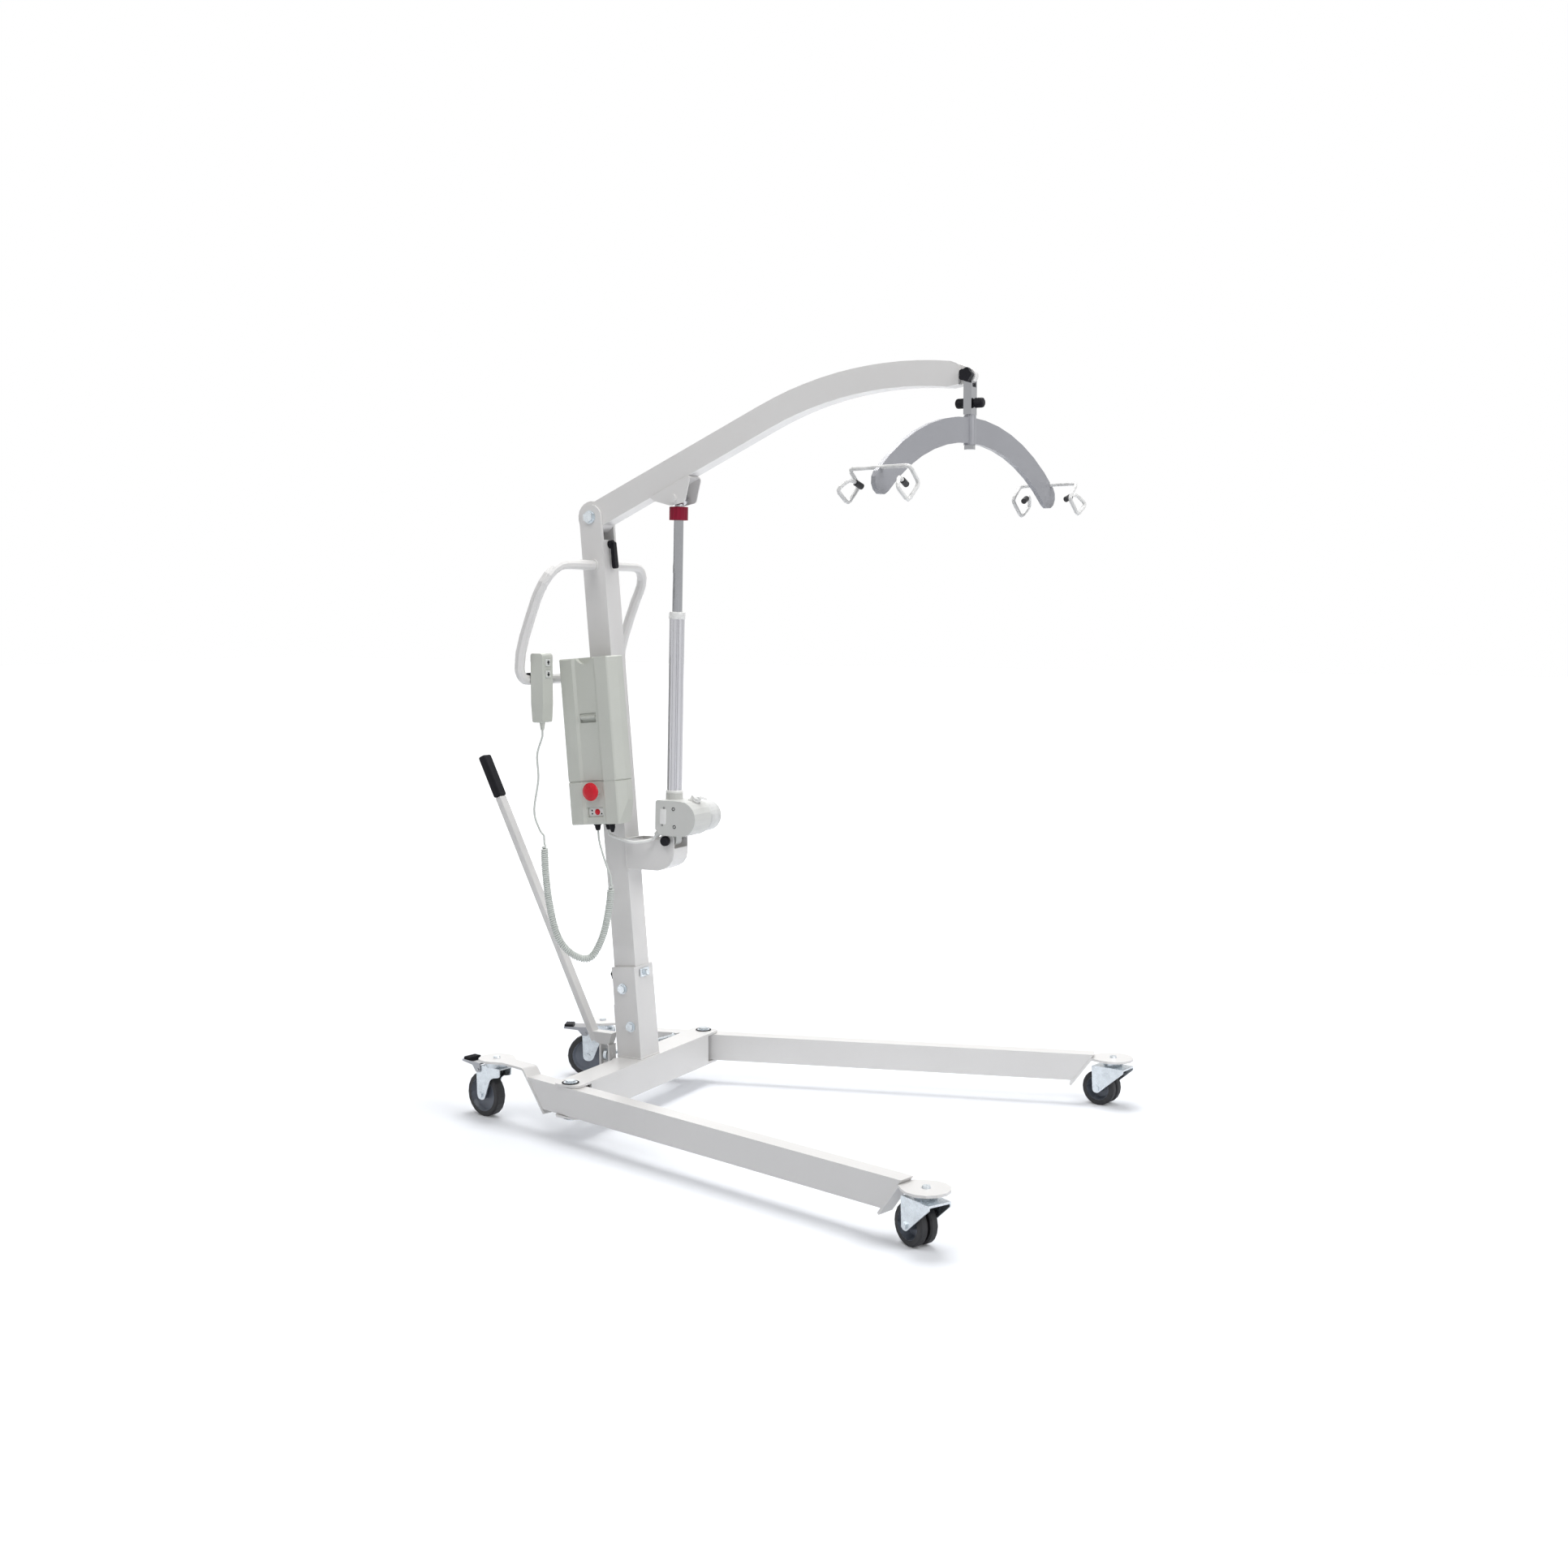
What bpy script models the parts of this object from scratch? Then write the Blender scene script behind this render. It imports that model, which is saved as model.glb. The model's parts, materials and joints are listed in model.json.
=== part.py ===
"""Mobile patient lift: a wheeled base with spreading legs, a leaning mast, a boom
raised by an electric actuator, and a spreader bar with four sling hooks.

Metres, +Z up, +X forward; right is -Y and left is +Y, as seen by the carer who pushes it.
Places below are measured from the floor midway between the leg pivots. At the end the
whole lift is moved back, so that the origin is on the floor under its middle.
"""

import math

import bmesh
import bpy
from mathutils import Matrix, Vector

MM = 0.001
GAP = 0.3 * MM
MERGE = 0.00001
PAST = 4 * MM
MIDDLE_X = 271.9 * MM

# Base: a rectangular cross beam whose ends are forks for the legs
BEAM_DEPTH = 64 * MM
BEAM_BOTTOM = 52 * MM
BEAM_TOP = 125 * MM
BEAM_WALL = 5 * MM
FORK_DEPTH = 52 * MM
FORK_CORNER = 14 * MM
LEG_PIVOT_Y = 277 * MM
FORK_END = LEG_PIVOT_Y + 20 * MM
LEG_PLAY = 1 * MM
PIVOT_BOLT_RADIUS = 7 * MM
BOLT_CLEARANCE = 0.4 * MM

# Legs: straight tubes with bent plates that carry the casters
SPLAY = math.radians(15.2)
LEG_WIDTH = 36 * MM
LEG_WALL = 3 * MM
STRIP_WIDTH = 39 * MM
STRIP_THICKNESS = 5 * MM
STRIP_BEND = 11 * MM
FRONT_STRIP_FOOT = (868 * MM, 48 * MM)
FRONT_STRIP_SLOPE = 0.746
FRONT_STRIP_LEVEL = 111 * MM
FRONT_SWIVEL = 965 * MM
FRONT_PLATE_RADIUS = 45 * MM
REAR_STRIP_FOOT = (-66 * MM, 50 * MM)
REAR_STRIP_SLOPE = -0.827
REAR_STRIP_LEVEL = 136 * MM
REAR_SWIVEL = -252 * MM
REAR_PLATE_RADIUS = 40 * MM
TIE_PIN_BACK = 58 * MM
TIE_PIN_INWARD = 30 * MM
TIE_PIN_RADIUS = 4 * MM
LUG_RADIUS = 9 * MM
LUG_THICKNESS = 6 * MM

# Casters
REAR_WHEEL_RADIUS = 50 * MM
REAR_WHEEL_WIDTH = 25 * MM
REAR_TRAIL = 35 * MM
FRONT_WHEEL_RADIUS = 40 * MM
FRONT_TYRE_WIDTH = 17 * MM
FRONT_TYRE_GAP = 6 * MM
FRONT_TRAIL = 28 * MM
AXLE_RADIUS = 4 * MM
AXLE_CLEARANCE = 0.4 * MM
TYRE_DEPTH = 12 * MM
CHEEK = 3 * MM
STEM_RADIUS = 5 * MM
PEDAL_PIN_RADIUS = 3 * MM
FRONT_RIGHT_HEADING = math.radians(152.2)
FRONT_LEFT_HEADING = math.radians(169.5)
REAR_RIGHT_HEADING = math.radians(168.7)
REAR_LEFT_HEADING = math.radians(204.9)

# Spread lever, crank and tie rods
SHAFT_HEIGHT = 92 * MM
SHAFT_RADIUS = 8 * MM
BOSS_RADIUS = 17 * MM
BOSS_END = -74 * MM
CRANK_THROW = 24 * MM
CRANK_FRONT = -76 * MM
CRANK_REAR = -104 * MM
CRANK_PLATE = 5 * MM
CRANK_WIDTH = 26 * MM
CRANK_TOP = 141 * MM
CRANK_PIN_RADIUS = 3.5 * MM
ROD_RING_BORE = 9 * MM
ROD_RING_RADIUS = 13 * MM
ROD_RING_WIDTH = 8 * MM
ROD_RADIUS = 5 * MM
LEVER_FOOT = (-122 * MM, 152 * MM)
LEVER_TOP = (-381 * MM, 692 * MM)
LEVER_DEPTH = 15 * MM
LEVER_WIDTH = 25 * MM
ARM_TOP = 168 * MM
GRIP_LENGTH = 104 * MM
GRIP_DEPTH = 19 * MM
GRIP_WIDTH = 30 * MM

# Mast, leaning back from its foot
LEAN = math.radians(4.71)
MAST_FOOT = Vector((-5.4 * MM, 0, 115 * MM))
MAST_WIDTH = 56 * MM
MAST_WALL = 3 * MM
MAST_START = 20 * MM
BOOM_PIVOT_UP = 1216.7 * MM
EAR_INSIDE = 20.5 * MM
EAR_SLOT_DROP = 50 * MM
SOCKET_DEPTH = 61.6 * MM
SOCKET_WIDTH = 76 * MM
SOCKET_TOP = 215 * MM
SOCKET_STEP = 130 * MM
SOCKET_BOLTS = ((-4 * MM, 166.5 * MM), (10 * MM, 81 * MM))
SOCKET_BOLT_RADIUS = 5 * MM

# Push handle: a closed loop of tube through the mast
HANDLE_RADIUS = 11.2 * MM
HANDLE_HALF_WIDTH = 197 * MM
HANDLE_TOP = 1222 * MM
HANDLE_BOTTOM = 972 * MM
HANDLE_TOP_CORNER = 60 * MM
HANDLE_BOTTOM_CORNER = 26 * MM
HANDLE_SIDE = (
    (972, -176), (1000, -177), (1031, -173), (1065, -163),
    (1107, -147), (1146, -131), (1190, -109), (1222, -96.6),
)

# Boom
BOOM_SLOPE = math.radians(24.4)
BOOM_WIDTH = 40 * MM
BOOM_START_HEIGHT = 57 * MM
BOOM_END_HEIGHT = 50 * MM
BOOM_STRAIGHT = 478 * MM
BOOM_BEND_RADIUS = 775 * MM
BOOM_BEND_REACH = 404.93639 * MM
BOOM_SWEEP = math.asin(BOOM_BEND_REACH / BOOM_BEND_RADIUS)
KNUCKLE_RADIUS = 35.5 * MM
PIVOT_RADIUS = 8 * MM
NOSE_RADIUS = 14 * MM
NOSE_HALF_WIDTH = 9 * MM
END_PIN_RADIUS = 5 * MM
END_PIN_PLACE = (783 * MM, 1584 * MM)
CLEVIS_PLACE = (208.9 * MM, -55.9 * MM)
BRACKET_CHEEK = 3 * MM
BOOM_BRACKET_WIDTH = 50 * MM

# Actuator
LOWER_PIN = Vector((90 * MM, 0, 620 * MM))
LOWER_PIN_RADIUS = 6 * MM
MAST_BRACKET_WIDTH = 60 * MM
EAR_RISE = 11.5 * MM
HOUSING_NEAR = -45 * MM
HOUSING_FAR = 25 * MM
TUBE_RADIUS = 16.5 * MM
TUBE_BORE = 13 * MM
TUBE_START = 106 * MM
TUBE_END = 484 * MM
RING_RADIUS = 18 * MM
RING_END = 500 * MM
ROD_BAR_RADIUS = 11 * MM
ROD_START = 262 * MM
COLLAR_START = 697 * MM
COLLAR_LENGTH = 28.5 * MM
COLLAR_RADIUS = 20.5 * MM
EYE_RADIUS = 14 * MM
EYE_HALF_WIDTH = 15.5 * MM
MOTOR_X = 24.9 * MM
MOTOR_UP = 46.6 * MM
MOTOR_RADIUS = 33 * MM
CAP_RADIUS = 34.5 * MM
MOTOR_STEP = 62 * MM
MOTOR_END = 115 * MM
PLUG_SEAT = (47 * MM, 82 * MM)
PLUG_TILT = math.radians(32)
SERVICE_PLUG_RADIUS = 12 * MM
LOOP_REACH = 22 * MM
GLAND = (Vector((-12, -37, 22)) * MM, Vector((-22, -37, 12)) * MM)
GLAND_RADIUS = 6.5 * MM
GLAND_DEPTH = 5 * MM
CABLE_PLAY = 3 * MM

# Control box, in the mast's own frame
BOX_FRONT = 100 * MM
BOX_SHOULDER = 74.5 * MM
BOX_BACK = 52 * MM
BOX_HALF_FRONT = 62 * MM
BOX_HALF_WIDTH = 74 * MM
BOX_BOTTOM = 542 * MM
BOX_SEAM = 637 * MM
BOX_TOP = 908 * MM
CHANNEL_HALF = 26 * MM
CHANNEL_DEPTH = 4 * MM
BOX_TAPER = 12 * MM
BOX_BRACKET_HALF = 40 * MM
BOX_BRACKET_LOW = BOX_BOTTOM + 18 * MM
BOX_BRACKET_HIGH = BOX_TOP - 28 * MM
BOX_TAPER_HEIGHT = 50 * MM
STOP_UP = 615 * MM
STOP_RADIUS = 20.25 * MM
STOP_STEM = 11 * MM
LATCH_UP = 779 * MM
LIGHT_UP = 569 * MM
HANDSET_PLUG = (-6 * MM, -82 * MM)
ACTUATOR_PLUG = (12 * MM, -66 * MM)
PLUG_LENGTH = 14 * MM
PLUG_RADIUS = 6.5 * MM

# Handset on the lower bar of the push handle
HANDSET_X = -148 * MM
HANDSET_Y = -156 * MM
HANDSET_BOTTOM = 880 * MM
HANDSET_TOP = 1030 * MM
HANDSET_DEPTH = 32 * MM
HANDSET_WIDTH = 38 * MM
RELIEF_END = 863 * MM
HOOK_THICKNESS = 4 * MM
BUTTON_HEIGHTS = (1010 * MM, 985 * MM)

# Cords
LEAD_RADIUS = 2.3 * MM
CURL_RADIUS = 6.2 * MM
CURLS = 54
CURL_POINTS = 8
CABLE_RADIUS = 3.5 * MM
LEAD_ROUTE = (
    (-148, -156, 862.5), (-148.5, -156, 848), (-165, -153, 808), (-164, -151, 755),
    (-177, -150, 682), (-161, -150, 640), (-151.5, -150, 630),
)
CURL_ROUTE = (
    (-151, -150, 617), (-149, -150, 553), (-139, -150, 479), (-121, -145, 407),
    (-95, -128, 368), (-64, -105, 359), (-42, -88, 405), (-29, -81, 470), (-24, -80, 515),
    (-24, -80, 527),
)
BOX_LEAD_ROUTE = ((-24, -80, 540), (-36, -80, 566), (-49, -80, 601), (-53.5, -81, 620))
CABLE_ROUTE = ((-20, -66, 626), (18, -64, 617), (44, -52, 618))

# Hanger and spreader bar
HANGER_X = END_PIN_PLACE[0]
YOKE_WIDTH = 17 * MM
YOKE_PRONG = 5 * MM
YOKE_LENGTH = 76 * MM
YOKE_BOTTOM = END_PIN_PLACE[1] - YOKE_LENGTH
CROTCH_DROP = 22 * MM
GRIP_DROP = 53 * MM
HANGER_GRIP_RADIUS = 10 * MM
HANGER_GRIP_REACH = 30 * MM
GRIP_BAR_RADIUS = 4 * MM
POST_RADIUS = 7 * MM
SLEEVE_RADIUS = 12.5 * MM
SLEEVE_LENGTH = 58 * MM
SLEEVE_TOP = YOKE_BOTTOM - 1 * MM
SLEEVE_BOTTOM = SLEEVE_TOP - SLEEVE_LENGTH
SPREADER_YAW = math.radians(-10.9)
ARCH_TOP = SLEEVE_TOP - 4 * MM
ARCH_RADIUS = 470 * MM
ARCH_WIDTH = 50 * MM
ARCH_THICKNESS = 10 * MM
ARCH_END = math.radians(42.3)
HOOK_WIRE_RADIUS = 4 * MM
HOOK_SEAT_INSET = 3 * MM
HOOK_SEAT_RADIUS = ARCH_RADIUS - HOOK_SEAT_INSET
HOOK_SEAT_ANGLE = math.radians(40.7)
HOOK_REACH = 69 * MM
HOOK_SHAPE = (
    (0, 0, 0), (-30, -31, 0), (5, -65, 0), (39, -41, 0), (16, -20, 13), (-3, -28, 16),
)
STOP_LENGTH = 18 * MM
HOOK_STOP_RADIUS = 6 * MM

SIDE_ON = (math.pi / 2, 0, 0)
FACE_ON = (math.pi / 2, 0, math.pi / 2)
ALONG_Y = (-math.pi / 2, 0, 0)

# Finishes: colour, roughness, metallic
COAT = ((0.78, 0.78, 0.76), 0.45, 0.0)
ARCH_GREY = ((0.56, 0.57, 0.60), 0.4, 0.0)
ZINC = ((0.62, 0.67, 0.70), 0.32, 1.0)
CHROME = ((0.78, 0.79, 0.80), 0.1, 1.0)
ALUMINIUM = ((0.72, 0.73, 0.74), 0.3, 1.0)
BOX_PLASTIC = ((0.60, 0.60, 0.55), 0.5, 0.0)
WHITE_PLASTIC = ((0.82, 0.82, 0.80), 0.35, 0.0)
BLACK_PLASTIC = ((0.02, 0.02, 0.025), 0.45, 0.0)
GREY_WHEEL = ((0.10, 0.11, 0.13), 0.5, 0.0)
RED_BUTTON = ((0.70, 0.02, 0.03), 0.3, 0.0)
RED_COLLAR = ((0.30, 0.02, 0.05), 0.4, 0.0)
CORD_GREY = ((0.50, 0.52, 0.50), 0.5, 0.0)

for old in list(bpy.data.objects):
    bpy.data.objects.remove(old, do_unlink=True)


def new_collection(name):
    made = bpy.data.collections.new(name)
    bpy.context.scene.collection.children.link(made)
    return made


lift = new_collection("mobile_patient_lift")
tools = new_collection("cutters_and_joined_shapes")


def link(name, data, parent, at=(0, 0, 0), turn=(0, 0, 0)):
    """A new object in the lift's collection, placed in its parent's frame."""
    made = bpy.data.objects.new(name, data)
    lift.objects.link(made)
    made.parent = parent
    made.location = at
    made.rotation_euler = turn
    return made


def frame(name, at, turn=(0, 0, 0), parent=None):
    """An empty that stands on a joint's axis or carries a tilted group."""
    made = link(name, None, parent, at, turn)
    made.empty_display_size = 0.05
    return made


def finish(obj, look):
    """Gives the object its own Principled material."""
    colour, roughness, metallic = look
    made = bpy.data.materials.new(obj.name + "_finish")
    made.use_nodes = True
    shader = made.node_tree.nodes["Principled BSDF"]
    shader.inputs["Base Color"].default_value = (*colour, 1)
    shader.inputs["Roughness"].default_value = roughness
    shader.inputs["Metallic"].default_value = metallic
    obj.data.materials.clear()
    obj.data.materials.append(made)
    return obj


def mesh_from(name, shape):
    mesh = bpy.data.meshes.new(name)
    shape.to_mesh(mesh)
    shape.free()
    return mesh


def smooth(mesh):
    mesh.shade_smooth()
    mesh.set_sharp_from_angle(angle=math.radians(35))


def box(name, low, high, parent=None):
    """A box between two corners of its parent's frame."""
    low = Vector(low)
    high = Vector(high)
    shape = bmesh.new()
    bmesh.ops.create_cube(shape, size=1)
    bmesh.ops.scale(shape, vec=high - low, verts=shape.verts)
    return link(name, mesh_from(name, shape), parent, (low + high) / 2)


def rod(name, start, end, radius, parent=None, sides=20, end_radius=None):
    """A cylinder, or a cone if it has an end radius, between two points of its parent's frame."""
    start = Vector(start)
    end = Vector(end)
    shape = bmesh.new()
    bmesh.ops.create_cone(
        shape,
        cap_ends=True,
        segments=sides,
        radius1=radius,
        radius2=radius if end_radius is None else end_radius,
        depth=(end - start).length,
    )
    mesh = mesh_from(name, shape)
    smooth(mesh)
    turn = (end - start).to_track_quat("Z", "Y").to_euler()
    return link(name, mesh, parent, (start + end) / 2, turn)


def circle(centre, radius, sides=12):
    angles = [math.tau * step / sides for step in range(sides)]
    return [
        (centre[0] + radius * math.cos(angle), centre[1] + radius * math.sin(angle))
        for angle in angles
    ]


def arc(centre, radius, start, end, steps):
    """Points on an arc, with both ends, between two angles in radians."""
    angles = [start + (end - start) * step / steps for step in range(steps + 1)]
    return [
        (centre[0] + radius * math.cos(angle), centre[1] + radius * math.sin(angle))
        for angle in angles
    ]


def rounded(corners, steps=3):
    """The points of a closed outline whose corners are (x, y, radius)."""
    points = []
    for index, (x, y, radius) in enumerate(corners):
        corner = Vector((x, y))
        back = (Vector(corners[index - 1][:2]) - corner).normalized()
        ahead = (Vector(corners[(index + 1) % len(corners)][:2]) - corner).normalized()
        if radius == 0:
            points.append(corner)
            continue
        half = back.angle(ahead) / 2
        middle = corner + (back + ahead).normalized() * radius / math.sin(half)
        reach = radius / math.tan(half)
        first = (corner + back * reach - middle).normalized()
        last = (corner + ahead * reach - middle).normalized()
        points += [middle + first.slerp(last, step / steps) * radius for step in range(steps + 1)]
    return [tuple(point) for point in points]


def rounded_path(points, radius, steps=4):
    """An open path in space whose inner corners are eased over the given reach."""
    points = [Vector(point) for point in points]
    path = [points[0]]
    for before, corner, after in zip(points, points[1:], points[2:]):
        reach = min(radius, (before - corner).length * 0.45, (after - corner).length * 0.45)
        first = corner + (before - corner).normalized() * reach
        last = corner + (after - corner).normalized() * reach
        for step in range(steps + 1):
            share = step / steps
            path.append(first.lerp(corner, share).lerp(corner.lerp(last, share), share))
    path.append(points[-1])
    return path


def smooth_route(route, spacing):
    """Evenly spaced points on a smooth curve through the route's points."""
    knots = [Vector(point) for point in route]
    knots = [2 * knots[0] - knots[1], *knots, 2 * knots[-1] - knots[-2]]
    fine = []
    for index in range(1, len(knots) - 2):
        p0, p1, p2, p3 = knots[index - 1:index + 3]
        for step in range(40):
            t = step / 40
            bend = 2 * p0 - 5 * p1 + 4 * p2 - p3
            twist = 3 * p1 - p0 - 3 * p2 + p3
            fine.append((2 * p1 + (p2 - p0) * t + bend * t ** 2 + twist * t ** 3) / 2)
    fine.append(knots[-2])
    lengths = [0.0]
    for before, after in zip(fine, fine[1:]):
        lengths.append(lengths[-1] + (after - before).length)
    count = max(2, round(lengths[-1] / spacing))
    points = []
    place = 0
    for step in range(count + 1):
        target = lengths[-1] * step / count
        while place < len(lengths) - 2 and lengths[place + 1] < target:
            place += 1
        share = (target - lengths[place]) / (lengths[place + 1] - lengths[place])
        points.append(fine[place].lerp(fine[place + 1], share))
    return points


def in_mm(route):
    return [Vector(point) * MM for point in route]


def plate(name, outline, thickness, parent=None, at=(0, 0, 0), turn=(0, 0, 0), holes=()):
    """A flat outline of its own XY plane, half its thickness to each side."""
    curve = bpy.data.curves.new(name, "CURVE")
    curve.dimensions = "2D"
    curve.fill_mode = "BOTH"
    curve.extrude = thickness / 2
    for ring in (outline, *holes):
        spline = curve.splines.new("POLY")
        spline.points.add(len(ring) - 1)
        for point, (x, y) in zip(spline.points, ring):
            point.co = (x, y, 0, 1)
        spline.use_cyclic_u = True
    return link(name, curve, parent, at, turn)


def pipe(name, points, radius, parent=None, resolution=3, cyclic=False):
    """A round tube or wire along the points, with filled ends."""
    curve = bpy.data.curves.new(name, "CURVE")
    curve.dimensions = "3D"
    curve.bevel_depth = radius
    curve.bevel_resolution = resolution
    curve.use_fill_caps = True
    spline = curve.splines.new("POLY")
    spline.points.add(len(points) - 1)
    for point, place in zip(spline.points, points):
        point.co = (*place, 1)
    spline.use_cyclic_u = cyclic
    return link(name, curve, parent)


def turned(name, profile, parent=None, at=(0, 0, 0), turn=(0, 0, 0), steps=20, ring=False):
    """Turns (radius, height) points, listed down the outer side, about the local Z axis."""
    mesh = bpy.data.meshes.new(name)
    edges = [(index, index + 1) for index in range(len(profile) - 1)]
    if ring:
        edges.append((len(profile) - 1, 0))
    mesh.from_pydata([(radius, 0, height) for radius, height in profile], edges, [])
    made = link(name, mesh, parent, at, turn)
    screw = made.modifiers.new("turn", "SCREW")
    screw.steps = steps
    screw.render_steps = steps
    screw.use_merge_vertices = True
    screw.merge_threshold = MERGE
    screw.use_smooth_shade = True
    return made


def as_mesh(obj):
    """Makes a mesh object from what the object looks like with its modifiers, in its place."""
    bpy.context.view_layer.update()
    graph = bpy.context.evaluated_depsgraph_get()
    mesh = bpy.data.meshes.new_from_object(obj.evaluated_get(graph))
    shape = bmesh.new()
    shape.from_mesh(mesh)
    bmesh.ops.remove_doubles(shape, verts=shape.verts, dist=MERGE)
    shape.to_mesh(mesh)
    shape.free()
    name = obj.name
    parent = obj.parent
    place = obj.matrix_world.copy()
    for modifier in obj.modifiers:
        if modifier.type == "BOOLEAN":
            bpy.data.objects.remove(modifier.object)
    bpy.data.objects.remove(obj)
    made = link(name, mesh, parent)
    made.matrix_world = place
    return made


def combine(target, other, operation):
    """Adds a Boolean with the other shape, which becomes a hidden tool."""
    if other.type == "CURVE":
        other = as_mesh(other)
    lift.objects.unlink(other)
    tools.objects.link(other)
    other.hide_render = True
    other.display_type = "WIRE"
    change = target.modifiers.new(operation.lower(), "BOOLEAN")
    change.operation = operation
    change.object = other
    return target


def cut(target, *others):
    for other in others:
        combine(target, other, "DIFFERENCE")
    return target


def join(target, *others):
    for other in others:
        combine(target, other, "UNION")
    return target


def soften(obj, width, segments=2):
    """Rounds the sharp edges made so far."""
    change = obj.modifiers.new("soften", "BEVEL")
    change.width = width
    change.segments = segments
    change.limit_method = "ANGLE"
    change.angle_limit = math.radians(40)
    return obj


def bolt(name, start, end, radius, head_radius, head_length, washer_radius, nut=True, parent=None):
    """A hexagon bolt with a washer under its head at the start and, if wanted, a nut at the end."""
    start = Vector(start)
    end = Vector(end)
    along = (end - start).normalized()
    washer = 1.6 * MM
    made = rod(name, start - along * washer, end + along * washer, radius, parent, 12)
    head = start - along * washer * 0.5
    tip = end + along * washer * 0.5
    join(
        made,
        rod("washer", start - along * washer, start, washer_radius, parent, 14),
        rod("head", head - along * head_length, head, head_radius, parent, 6),
    )
    if nut:
        join(
            made,
            rod("washer", end, end + along * washer, washer_radius, parent, 14),
            rod("nut", tip, tip + along * head_length, head_radius, parent, 6),
        )
    return made


def mast_point(forward, side, up):
    """A point of the mast's frame in world coordinates."""
    return MAST_FOOT + Vector((
        forward * math.cos(LEAN) - up * math.sin(LEAN),
        side,
        forward * math.sin(LEAN) + up * math.cos(LEAN),
    ))


BOOM_PIVOT = mast_point(0, 0, BOOM_PIVOT_UP)
BOOM_TURN = Matrix.Rotation(-BOOM_SLOPE, 3, "Y")
UPPER_PIN = BOOM_PIVOT + BOOM_TURN @ Vector((CLEVIS_PLACE[0], 0, CLEVIS_PLACE[1]))
ACTUATOR_LINE = UPPER_PIN - LOWER_PIN
ACTUATOR_LENGTH = ACTUATOR_LINE.length
ACTUATOR_TILT = math.atan2(ACTUATOR_LINE.x, ACTUATOR_LINE.z)

mast_frame = frame("mast_frame", MAST_FOOT, (0, -LEAN, 0))
boom_frame = frame("boom_frame", BOOM_PIVOT, (0, -BOOM_SLOPE, 0))
actuator_frame = frame("actuator_frame", LOWER_PIN, (0, ACTUATOR_TILT, 0))
plug_frame = frame(
    "plug_frame", (PLUG_SEAT[0], 0, PLUG_SEAT[1]), (0, PLUG_TILT, 0), actuator_frame,
)
hanger_frame = frame("hanger_frame", (HANGER_X, 0, END_PIN_PLACE[1]))
spreader_frame = frame("spreader_frame", (HANGER_X, 0, 0), (0, 0, SPREADER_YAW))
lever_frame = frame("lever_frame", (0, 0, SHAFT_HEIGHT))
leg_frames = {
    side: frame(f"leg_{side}_frame", (0, sign * LEG_PIVOT_Y, 0), (0, 0, sign * SPLAY))
    for side, sign in (("left", 1), ("right", -1))
}
bpy.context.view_layer.update()


# Cross beam

def make_cross_beam():
    half = BEAM_DEPTH / 2
    outline = rounded([
        (half, FORK_END, FORK_CORNER), (-half, FORK_END, FORK_CORNER),
        (-half, -FORK_END, FORK_CORNER), (half, -FORK_END, FORK_CORNER),
    ])
    bolt_holes = [
        circle((0, sign * LEG_PIVOT_Y), PIVOT_BOLT_RADIUS + BOLT_CLEARANCE) for sign in (1, -1)
    ]
    height = BEAM_TOP - BEAM_BOTTOM
    middle = (0, 0, (BEAM_TOP + BEAM_BOTTOM) / 2)
    beam = as_mesh(plate("cross_beam", outline, height, None, middle, holes=bolt_holes))
    inside = half - BEAM_WALL
    floor = BEAM_BOTTOM + BEAM_WALL
    roof = BEAM_TOP - BEAM_WALL
    cut(beam, box("bore", (-inside, -FORK_END - PAST, floor), (inside, FORK_END + PAST, roof)))
    for sign in (1, -1):
        near, far = sorted((sign * (FORK_END - FORK_DEPTH), sign * (FORK_END + PAST)))
        cut(beam, box("fork", (-half - PAST, near, floor), (half + PAST, far, roof)))
    centre = (0, SHAFT_HEIGHT)
    join(beam, rod("boss", (-half + 2 * MM, *centre), (BOSS_END, *centre), BOSS_RADIUS))
    blind = -half - 2 * MM
    cut(beam, rod(
        "boss_bore", (blind, *centre), (BOSS_END - PAST, *centre), SHAFT_RADIUS + BOLT_CLEARANCE,
    ))
    return finish(beam, COAT)


def make_pivot_bolt(side, sign):
    made = bolt(
        f"pivot_bolt_{side}",
        (0, sign * LEG_PIVOT_Y, BEAM_TOP + GAP),
        (0, sign * LEG_PIVOT_Y, BEAM_BOTTOM - GAP),
        PIVOT_BOLT_RADIUS, 11 * MM, 5 * MM, 15 * MM,
    )
    return finish(made, ZINC)


# Legs

LEG_BOTTOM = BEAM_BOTTOM + BEAM_WALL + LEG_PLAY
LEG_TOP = BEAM_TOP - BEAM_WALL - LEG_PLAY


def strip_line(foot, slope, height):
    """How far along the leg the inner face of a climbing strip is at a height."""
    return foot[0] + slope * (height - foot[1])


def strip_profile(foot, slope, level, tip):
    """Side view of a bent plate that climbs along the leg's cut and then runs level to its tip."""
    forward = math.copysign(1, slope)
    length = math.hypot(slope, 1)
    lower_foot = (
        foot[0] + forward * STRIP_THICKNESS / length,
        foot[1] - abs(slope) * STRIP_THICKNESS / length,
    )
    under = level - STRIP_THICKNESS
    return rounded([
        (*foot, 0),
        (strip_line(foot, slope, level), level, STRIP_BEND),
        (tip, level, 0),
        (tip, under, 0),
        (strip_line(lower_foot, slope, under), under, STRIP_BEND - STRIP_THICKNESS),
        (*lower_foot, 0),
    ])


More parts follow.
